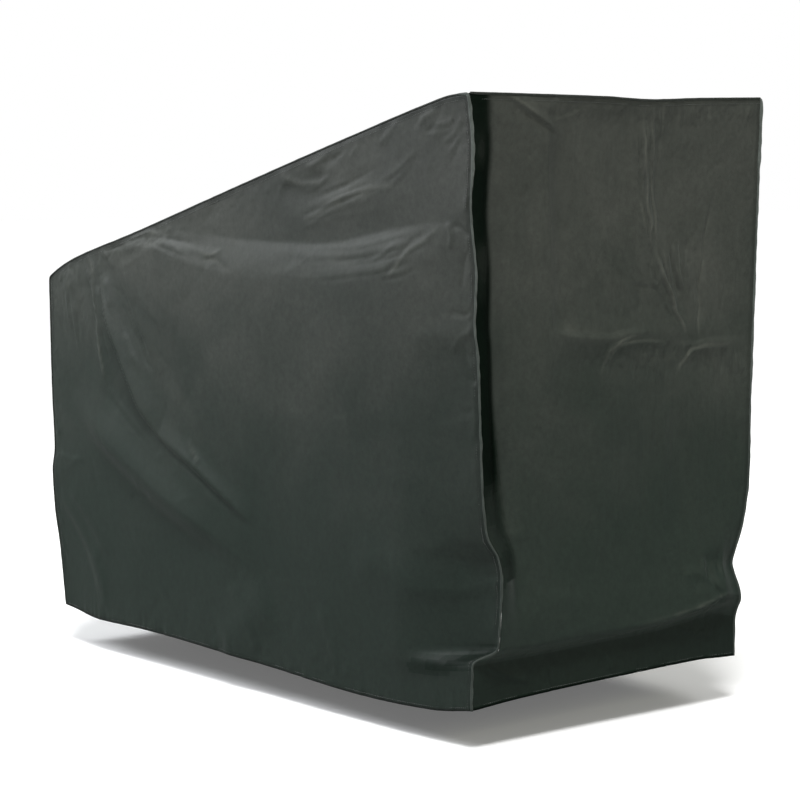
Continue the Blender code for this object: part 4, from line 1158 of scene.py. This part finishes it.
def thread_material():
    """Spun polyester sewing thread."""
    material, tree, shader = shader_material("sewing_thread")
    place_at = node(tree, "ShaderNodeTexCoord").outputs["Object"]
    twist = node(tree, "ShaderNodeTexNoise", {"Vector": place_at, "Scale": 900.0}).outputs["Fac"]
    colour = node(tree, "ShaderNodeValToRGB", {"Fac": twist})
    colour.color_ramp.elements[0].color = (0.020, 0.024, 0.021, 1.0)
    colour.color_ramp.elements[1].color = (0.042, 0.048, 0.044, 1.0)
    feed(tree, shader, {"Base Color": colour.outputs["Color"], "Sheen Weight": 0.4, "Roughness": 0.55})
    return material


# Colour of the painted highlights along creases.
PAINTED_HIGHLIGHT = (0.070, 0.075, 0.063, 1.0)
SINGLE = (0.031, 0.035, 0.030, 1.0)
DUSTY = (0.046, 0.050, 0.043, 1.0)
# Colour of the painted shade low down on the cloth.
LOW_SHADE = (0.0120, 0.0215, 0.0160, 1.0)
# Near-black colour of doubled cloth and of painted shade.
DOUBLE_AND_SHADE = (0.002, 0.005, 0.003, 1.0)
# Colours of the painted highlight on the bindings, pale where light catches their roll.
SEAM_HIGHLIGHT = (0.075, 0.088, 0.080, 1.0)
SEAM_HIGHLIGHT_DUSTY = (0.120, 0.134, 0.124, 1.0)
SEAM_HIGHLIGHT_LOW_SHADE = (0.060, 0.078, 0.068, 1.0)
TRIM = (0.016, 0.019, 0.016, 1.0)
SHEER = 0.975
SHEEN = 0.08
DULL_GLOSSES = (0.20, 0.13, 0.07, 0.03)
CLOTH_LOOK = cover_material("coated_cloth", SINGLE, DOUBLE_AND_SHADE, DUSTY, LOW_SHADE, SHEER, 0.27, SHEEN)
# Duller looks for doubled cloth and painted shade, so that no highlight lifts them.
DULL_LOOKS = [
    cover_material(f"coated_cloth_double_{gloss}", SINGLE, DOUBLE_AND_SHADE, DUSTY, LOW_SHADE, 1.0, gloss, 0.0)
    for gloss in DULL_GLOSSES
]
BINDING_LOOK = cover_material("binding_cloth", SEAM_HIGHLIGHT, TRIM, SEAM_HIGHLIGHT_DUSTY, SEAM_HIGHLIGHT_LOW_SHADE, 1.0, 0.22, SHEEN)
THREAD_LOOK = thread_material()


def dress(piece, material, slot, *nodes):
    """Gives a piece its finish, rides it on the part and puts it in place of solids."""
    piece.data.materials.clear()
    piece.data.materials.append(material)
    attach(piece, "root")
    if nodes:
        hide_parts(*nodes)


# Panels

EDGE_SHADE = 0.25
# Painted shade on the hollow that runs back and down from where the near corner seam hooks forward.
HOOK_SHADE = 0.86
HOOK_UP = 0.096
HOOK_FALL = 0.15
HOOK_SPREAD = 0.022
HOOK_REACH = 0.28
# The dark strip behind the near corner seam, doubled cloth with painted shade of the hollow beside the
# seam, and how dull it is where it is dark.
FACING_WIDTH = table(
    LineRow,
    (0.00, 0.062), (0.25, 0.077), (0.36, 0.077), (0.53, 0.060), (0.79, 0.052), (FRONT_HEIGHT, 0.050),
)
FACING_COLUMN = 0.050
FACING_EASE = 0.16
DULL_SHARES = (0.30, 0.50, 0.70, 0.88)
# The front's band just over the hem, painted darker as shade under its low fold.
HEM_BAND_SHADE = 0.42
HEM_BAND = 0.074
FACING_SEED = 91
FRONT_HIGHLIGHT_SEED = 93
SIDE_HIGHLIGHT_SEED = 94


def rolled_edge(over_hem, depth):
    return fade(over_hem - depth, 0.002)


def edge_layers(from_seam, over_hem):
    """Where a panel is two layers thick at its seam allowance or its hem."""
    allowance = fade(from_seam - SEAM_ALLOWANCE, 0.004)
    hem = fade(over_hem - HEM_DEPTH, 0.003)
    return EDGE_SHADE * np.maximum(allowance, hem)


def tucked(at, low, high):
    """Positions with their ends drawn in, so that a panel's edge lies inside its binding."""
    return np.clip(at, low + TUCK, high - TUCK)


def dull_shaded(piece, mark):
    """Less and less glossy looks where the mark of doubled cloth and painted shade is strong."""
    for look in DULL_LOOKS:
        piece.data.materials.append(look)
    centres = (mark[:-1, :-1] + mark[1:, 1:]).reshape(-1) / 2
    looks = np.digitize(centres, DULL_SHARES).astype(np.int32)
    piece.data.polygons.foreach_set("material_index", looks)


def make_side(name, side, node_name, backs, shares):
    back, share = np.meshgrid(backs, shares)
    points = side_surface(side, tucked(back, 0.0, LENGTH), share)
    hem = curve(side.hem, "up", back)
    height = curve(SLOPE, "up", back) - hem
    over_hem = share * height
    from_seam = least(back, LENGTH - back, height * (1 - share))
    rolled = 0.8 * rolled_edge(over_hem, 0.004)
    # Painted shade on the hollow under the corner seam's hook; its gloss is dulled too.
    hook = bell(over_hem - HOOK_UP + HOOK_FALL * back, HOOK_SPREAD)
    shaded = HOOK_SHADE * hook * fade(back, HOOK_REACH)
    doubled_and_shade = np.maximum(np.maximum(rolled, edge_layers(from_seam, over_hem)), shaded)
    # Painted highlights along the side's creases.
    pale = painted_highlight_lines(SIDE_HIGHLIGHT_SEED, side.pale, back, hem + over_hem)
    piece = fabric_mesh(name, place(*points), back, points[2], doubled_and_shade, pale)
    dress(piece, CLOTH_LOOK, "cover_cloth", node_name)
    dull_shaded(piece, shaded)


def follow_facing(from_left, nominal):
    """Grid columns moved so that one of them runs along the edge of the doubled strip."""
    edge = curve(FACING_WIDTH, "up", nominal)
    inner = from_left / FACING_COLUMN * edge
    outer = edge + (from_left - FACING_COLUMN) / (FACING_EASE - FACING_COLUMN) * (FACING_EASE - edge)
    moved = np.where(from_left < FACING_COLUMN, inner, outer)
    return np.where(from_left < FACING_EASE, moved, from_left)


def facing_shade(from_left, across, nominal):
    """The strip of two-layer cloth with painted shade of the hollow beside the seam: patchy, and fainter
    towards the hem.
    """
    edge = from_left - curve(FACING_WIDTH, "up", nominal)
    patchy = 0.45 + 0.9 * value_noise(FACING_SEED, across * 1.6, nominal, 0.06)
    facing = fade(edge + 0.015, 0.024) * ease((nominal - 0.12) / 0.36)
    return 1 - (1 - np.clip(facing * patchy, 0.0, 1.0)) ** 1.8


def make_front():
    across, share = np.meshgrid(FRONT_ACROSS, FRONT_SHARES)
    nominal = share * FRONT_HEIGHT
    from_left = follow_facing(across + HALF_WIDTH, nominal)
    across = from_left - HALF_WIDTH
    points = front_surface(tucked(across, -HALF_WIDTH, HALF_WIDTH), share)
    from_seam = np.minimum(HALF_WIDTH - across, FRONT_HEIGHT - nominal)
    # Doubled cloth and painted shade beside the near corner seam.
    facing = facing_shade(from_left, across, nominal)
    # Painted shade on the band under the front's low fold.
    hem_band = HEM_BAND_SHADE * fade(nominal - HEM_BAND, 0.012)
    edges = np.maximum(rolled_edge(nominal, 0.0045), edge_layers(from_seam, nominal))
    doubled_and_shade = np.maximum(np.maximum(facing, hem_band), edges)
    # Painted highlights along the front's creases.
    pale = painted_highlight_lines(FRONT_HIGHLIGHT_SEED, FRONT_HIGHLIGHTS, across, nominal)
    piece = fabric_mesh("front_cloth", place(*points), across, nominal, doubled_and_shade, pale)
    dress(piece, CLOTH_LOOK, "cover_cloth", "front_panel")
    dull_shaded(piece, doubled_and_shade)


def make_rear():
    across, share = np.meshgrid(REAR_ACROSS[::-1], PLAIN_SHARES)
    points = rear_surface(tucked(across, -HALF_WIDTH, HALF_WIDTH), share)
    height = share * REAR_HEIGHT
    from_seam = np.minimum(HALF_WIDTH - np.abs(across), REAR_HEIGHT - height)
    doubled_and_shade = edge_layers(from_seam, height)
    piece = fabric_mesh("rear_cloth", place(*points), across, height, doubled_and_shade)
    dress(piece, CLOTH_LOOK, "cover_cloth", "rear_panel")


def make_top():
    back, across = np.meshgrid(PLAIN_BACKS[::-1], REAR_ACROSS)
    points = top_surface(tucked(back, 0.0, LENGTH), tucked(across, -HALF_WIDTH, HALF_WIDTH))
    from_seam = least(HALF_WIDTH - np.abs(across), back, LENGTH - back)
    doubled_and_shade = edge_layers(from_seam, np.full(back.shape, FRONT_HEIGHT))
    piece = fabric_mesh("top_cloth", place(*points), back, across, doubled_and_shade)
    dress(piece, CLOTH_LOOK, "cover_cloth", "top_panel")


# Bindings

RING_STEP = 0.004
RING_SIDES = 14
ROLL_TALL = 0.0036
ROLL_THICK = 0.0026
KINK_SWAY = 0.0014
KINK_SWELL = 0.0012
# Parts of the seam line, as distances ahead of the front corner or behind it.
UPRIGHT_END = -0.03
REAR_END = 0.03 - LENGTH


def travelled(line):
    """The distance along a line to each of its points."""
    return np.concatenate([[0], np.cumsum(np.linalg.norm(np.diff(line, axis=0), axis=1))])


def between(at, travel, values):
    """Points or normals of a line at given distances along it."""
    return np.stack([np.interp(at, travel, values[:, i]) for i in range(3)], axis=-1)


def resample(line):
    """Points evenly spaced along a line."""
    travel = travelled(line)
    return between(np.linspace(0, travel[-1], int(travel[-1] / RING_STEP) + 1), travel, line)


def rounded(line, passes):
    """The line with its corners eased, its ends kept."""
    line = line.copy()
    for _ in range(passes):
        line[1:-1] = (line[:-2] + 2 * line[1:-1] + line[2:]) / 4
    return line


def unit(vectors):
    return vectors / np.linalg.norm(vectors, axis=-1, keepdims=True)


def side_seam_line(side):
    rows = np.linspace(0, 1, 240)
    backs = np.linspace(0, LENGTH, 280)
    front = place(*side_surface(side, np.zeros(240), rows, fine=False))
    slope = place(*side_surface(side, backs, np.ones(280), fine=False))
    rear = place(*side_surface(side, np.full(240, LENGTH), rows[::-1], fine=False))
    return rounded(resample(np.concatenate([front, slope[1:], rear[1:]])), 3)


def swept_binding(name, line, outward, seed, node_name, size, highlight_share, kinked):
    """A rolled and flattened strip of cloth along a seam, a little uneven along its length."""
    random = np.random.default_rng(seed)
    count = len(line)
    travel = np.arange(count) * RING_STEP
    tangent = unit(np.gradient(line, axis=0))
    out = unit(outward - tangent * (outward * tangent).sum(1, keepdims=True))
    flat = np.cross(tangent, out)
    wobble = np.zeros(count)
    twist = np.zeros(count)
    for length in (0.031, 0.047, 0.083, 0.15, 0.34):
        wobble += np.sin(2 * math.pi * travel / length + random.uniform(0, 6.28)) / 5
        twist += np.sin(2 * math.pi * travel / length * 0.7 + random.uniform(0, 6.28)) / 5
    kinks = rounded(random.uniform(-1.0, 1.0, (count, 2)), 5) * kinked[:, None]
    line = line + flat * (KINK_SWAY * kinks[:, :1])
    tall = (ROLL_TALL + (0.0003 + 0.0006 * kinked) * wobble + KINK_SWELL * kinks[:, 1]) * size
    thick = (ROLL_THICK + 0.0005 * twist + KINK_SWELL * kinks[:, 0]) * size
    lean = 0.35 * twist
    rings = []
    for angle in np.arange(RING_SIDES) * 2 * math.pi / RING_SIDES:
        reach_out = np.sign(math.cos(angle)) * abs(math.cos(angle)) ** 0.8 * tall
        reach_flat = np.sign(math.sin(angle)) * abs(math.sin(angle)) ** 0.8 * thick
        turned_out = reach_out * np.cos(lean) - reach_flat * np.sin(lean)
        turned_flat = reach_out * np.sin(lean) + reach_flat * np.cos(lean)
        rings.append(line + out * turned_out[:, None] + flat * turned_flat[:, None])
    mesh = tube_mesh(name, np.stack(rings, axis=1))
    # The binding's painted highlight, stored as the dark share of its colour.
    mark_points(mesh, "doubled_and_shade", np.repeat(1 - highlight_share, RING_SIDES))
    dress(linked(name, mesh), BINDING_LOOK, "seam_binding", node_name)


def tube_mesh(name, rings):
    """Rings of points joined into a closed tube, with metric texture coordinates."""
    bm = bmesh.new()
    verts = [[bm.verts.new(point) for point in ring] for ring in rings]
    uv = bm.loops.layers.uv.new("cloth")
    for i in range(len(rings) - 1):
        for j in range(RING_SIDES):
            places = ((i, j), (i, j + 1), (i + 1, j + 1), (i + 1, j))
            face = bm.faces.new([verts[along][around % RING_SIDES] for along, around in places])
            face.smooth = True
            for loop, (along, around) in zip(face.loops, places):
                loop[uv].uv = (along * RING_STEP, around * 0.002)
    bm.faces.new(verts[0][::-1])
    bm.faces.new(verts[-1])
    bmesh.ops.recalc_face_normals(bm, faces=bm.faces[:])
    mesh = bpy.data.meshes.new(name)
    bm.to_mesh(mesh)
    bm.free()
    return mesh


def side_binding(name, side, seed, node_name):
    """The binding round a side: kinked up the front, with a painted highlight there that grows stronger
    towards the top; plain along the top and rear.
    """
    line = side_seam_line(side)
    ahead = line[:, 0] - SUPPORT_BACK
    over_hem = line[:, 2] + SUPPORT_UP
    slope = (ahead < -0.012) & (ahead > 0.012 - LENGTH) & (line[:, 2] > -REAR_HEIGHT)
    outward = np.empty(line.shape)
    outward[:, 0] = np.where(ahead > UPRIGHT_END, 1.0, np.where(ahead < 0.06 - LENGTH, -1.0, 0.26))
    outward[:, 1] = side.sign
    outward[:, 2] = np.where(slope, 1.0, 0.0)
    upright = ease((ahead - UPRIGHT_END) / 0.025)
    at_rear = ease((REAR_END - ahead) / 0.025)
    size = 0.66 + 0.10 * upright + 0.34 * upright * ease((over_hem - 0.86) / 0.10)
    # Painted highlight on the front seam's roll, stronger higher up where more light falls.
    higher_highlight = 0.45 + 0.55 * ease((over_hem - 0.15) / 0.8)
    patchy = 0.8 + 0.4 * value_noise(seed, line[:, 2], line[:, 0], 0.022)
    highlight_share = np.clip(0.10 + 0.75 * upright * higher_highlight * patchy, 0.0, 1.0) * (1 - at_rear)
    kinked = 0.15 + 0.85 * upright
    swept_binding(name, line, rounded(outward, 12), seed, node_name, size, highlight_share, kinked)


def cross_binding(name, surface, outward, seed, node_name):
    across = np.linspace(0.004 - HALF_WIDTH, HALF_WIDTH - 0.004, 200)
    line = resample(place(*surface(across, np.ones(200), fine=False)))
    every = np.ones(len(line))
    outwards = every[:, None] * np.array(outward)
    # A faint painted highlight all along the end bindings.
    swept_binding(name, line, outwards, seed, node_name, 0.78 * every, 0.1 * every, 0.15 * every)


# Stitches

STITCH = 0.0032
STITCH_PITCH = 0.0047
STITCH_SIDES = 5
THREAD = 0.00042
DIP = -0.0006
PROUD = 0.00015
# A stitch ring by ring: share of its length, height over the cloth, share of its thickness.
STITCH_RINGS = ((0.0, DIP, 0.5), (0.25, PROUD, 1.0), (0.75, PROUD, 1.0), (1.0, DIP, 0.5))


def stitch_row(line, normals, verts, faces):
    """Short lengths of thread laid end to end along a line, each dipping into the cloth at its ends."""
    travel = travelled(line)
    for start in np.arange(STITCH_PITCH, travel[-1] - STITCH_PITCH, STITCH_PITCH):
        first = len(verts)
        ends = np.array([between(start + share * STITCH, travel, line) for share, _, _ in STITCH_RINGS])
        normal = unit(between(start, travel, normals))
        side = np.cross(unit(ends[-1] - ends[0]), normal)
        for (_, height, size), point in zip(STITCH_RINGS, ends):
            for k in range(STITCH_SIDES):
                angle = 2 * math.pi * k / STITCH_SIDES
                offset = normal * math.cos(angle) + side * math.sin(angle)
                verts.append(point + normal * height + offset * THREAD * size)
        for ring in range(len(STITCH_RINGS) - 1):
            for k in range(STITCH_SIDES):
                a = first + ring * STITCH_SIDES + k
                b = first + ring * STITCH_SIDES + (k + 1) % STITCH_SIDES
                faces.append((a, b, b + STITCH_SIDES, a + STITCH_SIDES))
        faces.append(range(first + STITCH_SIDES - 1, first - 1, -1))
        faces.append(range(len(verts) - STITCH_SIDES, len(verts)))


def stitches(name, rows):
    """Rows of stitches as one piece; each row is a line on the cloth and its normals."""
    verts = []
    faces = []
    for line, normals in rows:
        stitch_row(line, normals, verts, faces)
    mesh = bpy.data.meshes.new(name)
    mesh.from_pydata([tuple(point) for point in verts], [], [tuple(face) for face in faces])
    mesh.polygons.foreach_set("use_smooth", np.ones(len(faces), bool))
    mesh.update()
    dress(linked(name, mesh), THREAD_LOOK, "seam_binding")


def surface_row(surface, first, second, outward):
    """A line on a panel's outer face with the panel's normals there."""
    step = 0.0015
    here = place(*surface(first, second))
    beside = place(*surface(first + step, second))
    above = place(*surface(first, second + step))
    normals = unit(np.cross(beside - here, above - here))
    normals *= np.sign((normals * np.array(outward)).sum(1, keepdims=True))
    return here + normals * (CLOTH / 2), normals


def side_stitches(name, side):
    outward = (0, side.sign, 0)
    surface = partial(side_surface, side)
    backs = np.linspace(SEAM_STITCH, LENGTH - SEAM_STITCH, 700)
    height = curve(SLOPE, "up", backs) - curve(side.hem, "up", backs)
    rows = [
        surface_row(surface, backs, 1 - SEAM_STITCH / height, outward),
        surface_row(surface, backs, HEM_STITCH / height, outward),
    ]
    for back, tall in ((SEAM_STITCH, FRONT_HEIGHT), (LENGTH - SEAM_STITCH, REAR_HEIGHT)):
        shares = np.linspace(0.002, 1 - SEAM_STITCH / tall, 520)
        rows.append(surface_row(surface, np.full(520, back), shares, outward))
    stitches(name, rows)


def end_stitches(name, surface, tall, outward):
    across = np.linspace(0.004 - HALF_WIDTH, HALF_WIDTH - 0.004, 420)
    shares = (HEM_STITCH / tall, 1 - SEAM_STITCH / tall)
    stitches(name, [surface_row(surface, across, np.full(420, share), outward) for share in shares])


# Stage: floor, light and camera

CAMERA_AZIMUTH = math.radians(50.61)
CAMERA_PITCH = math.radians(5.53)
CAMERA_PLACE = Vector((3.423, -3.197, -0.073))
LENS_MM = 115.0
SENSOR_MM = 36.0
FLOOR_BELOW_HEM = 0.074
WHITE = (1.0, 1.0, 1.0, 1.0)


def turn_to(thing, place_at, ahead):
    thing.location = place_at
    thing.rotation_euler = ahead.to_track_quat("-Z", "Y").to_euler()


def make_camera():
    data = bpy.data.cameras.new("camera")
    data.lens = LENS_MM
    data.sensor_width = SENSOR_MM
    camera = linked("camera", data)
    level = math.cos(CAMERA_PITCH)
    east = -math.sin(CAMERA_AZIMUTH) * level
    north = math.cos(CAMERA_AZIMUTH) * level
    turn_to(camera, CAMERA_PLACE, Vector((east, north, -math.sin(CAMERA_PITCH))))
    bpy.context.scene.camera = camera


def make_floor():
    bpy.ops.mesh.primitive_plane_add(size=60, location=(0, 0, -SUPPORT_UP - FLOOR_BELOW_HEM))
    floor = bpy.context.object
    floor.name = "studio_floor"
    material, tree, shader = shader_material("pale_floor")
    glow = {"Emission Color": WHITE, "Emission Strength": 0.14}
    feed(tree, shader, {"Base Color": (0.93, 0.93, 0.93, 1.0), "Roughness": 0.7, **glow})
    floor.data.materials.append(material)
    floor.visible_glossy = False


def area_light(name, place_at, target, size, power, colour):
    data = bpy.data.lights.new(name, "AREA")
    data.shape = "RECTANGLE"
    data.size, data.size_y = size
    data.energy = power
    data.color = colour
    turn_to(linked(name, data), place_at, Vector(target) - Vector(place_at))


def sun_light(name, place_at, strength, spread):
    data = bpy.data.lights.new(name, "SUN")
    data.energy = strength
    data.angle = math.radians(spread)
    turn_to(linked(name, data), place_at, -Vector(place_at))


def make_light():
    sun_light("overhead", (1.2, -1.06, 3.4), 3.0, 16)
    area_light("right_fill", (4.2, 1.5, 1.2), (0.1, 0.0, -0.4), (1.6, 1.6), 38, (1.0, 1.0, 0.78))
    area_light("rear_left_kicker", (-2.7, -2.0, 1.3), (-0.8, -0.3, -0.5), (1.2, 1.6), 80, (0.94, 0.97, 1.0))
    area_light("far_side_fill", (-2.2, 3.6, 1.6), (-0.5, 0.3, -0.5), (2.0, 2.0), 60, (1.0, 1.0, 0.98))


def make_world():
    """A soft white world that the camera sees as a plain white backdrop."""
    world = bpy.data.worlds.new("studio")
    bpy.context.scene.world = world
    world.use_nodes = True
    tree = world.node_tree
    background = tree.nodes["Background"]
    feed(tree, background, {"Color": WHITE, "Strength": 0.20})
    backdrop = node(tree, "ShaderNodeBackground", {"Color": WHITE, "Strength": 1.0})
    seen = node(tree, "ShaderNodeLightPath").outputs["Is Camera Ray"]
    mix = node(tree, "ShaderNodeMixShader", {0: seen, 1: background.outputs[0], 2: backdrop.outputs[0]})
    feed(tree, tree.nodes["World Output"], {"Surface": mix.outputs[0]})
    bpy.context.scene.view_settings.view_transform = "Standard"


make_camera()
make_floor()
make_light()
make_world()
make_side("side_left_cloth", LEFT, "side_left", SIDE_BACKS[::-1], SIDE_SHARES)
make_side("side_right_cloth", RIGHT, "side_right", PLAIN_BACKS, PLAIN_SHARES)
make_front()
make_rear()
make_top()
side_binding("left_roll", LEFT, 71, "left_binding")
side_binding("right_roll", RIGHT, 72, "right_binding")
cross_binding("front_top_roll", front_surface, (1.0, 0.0, 1.0), 73, "front_top_binding")
cross_binding("rear_top_roll", rear_surface, (-1.0, 0.0, 1.0), 74, "rear_top_binding")
side_stitches("left_stitches", LEFT)
side_stitches("right_stitches", RIGHT)
end_stitches("front_stitches", front_surface, FRONT_HEIGHT, (1, 0, 0))
end_stitches("rear_stitches", rear_surface, REAR_HEIGHT, (-1, 0, 0))
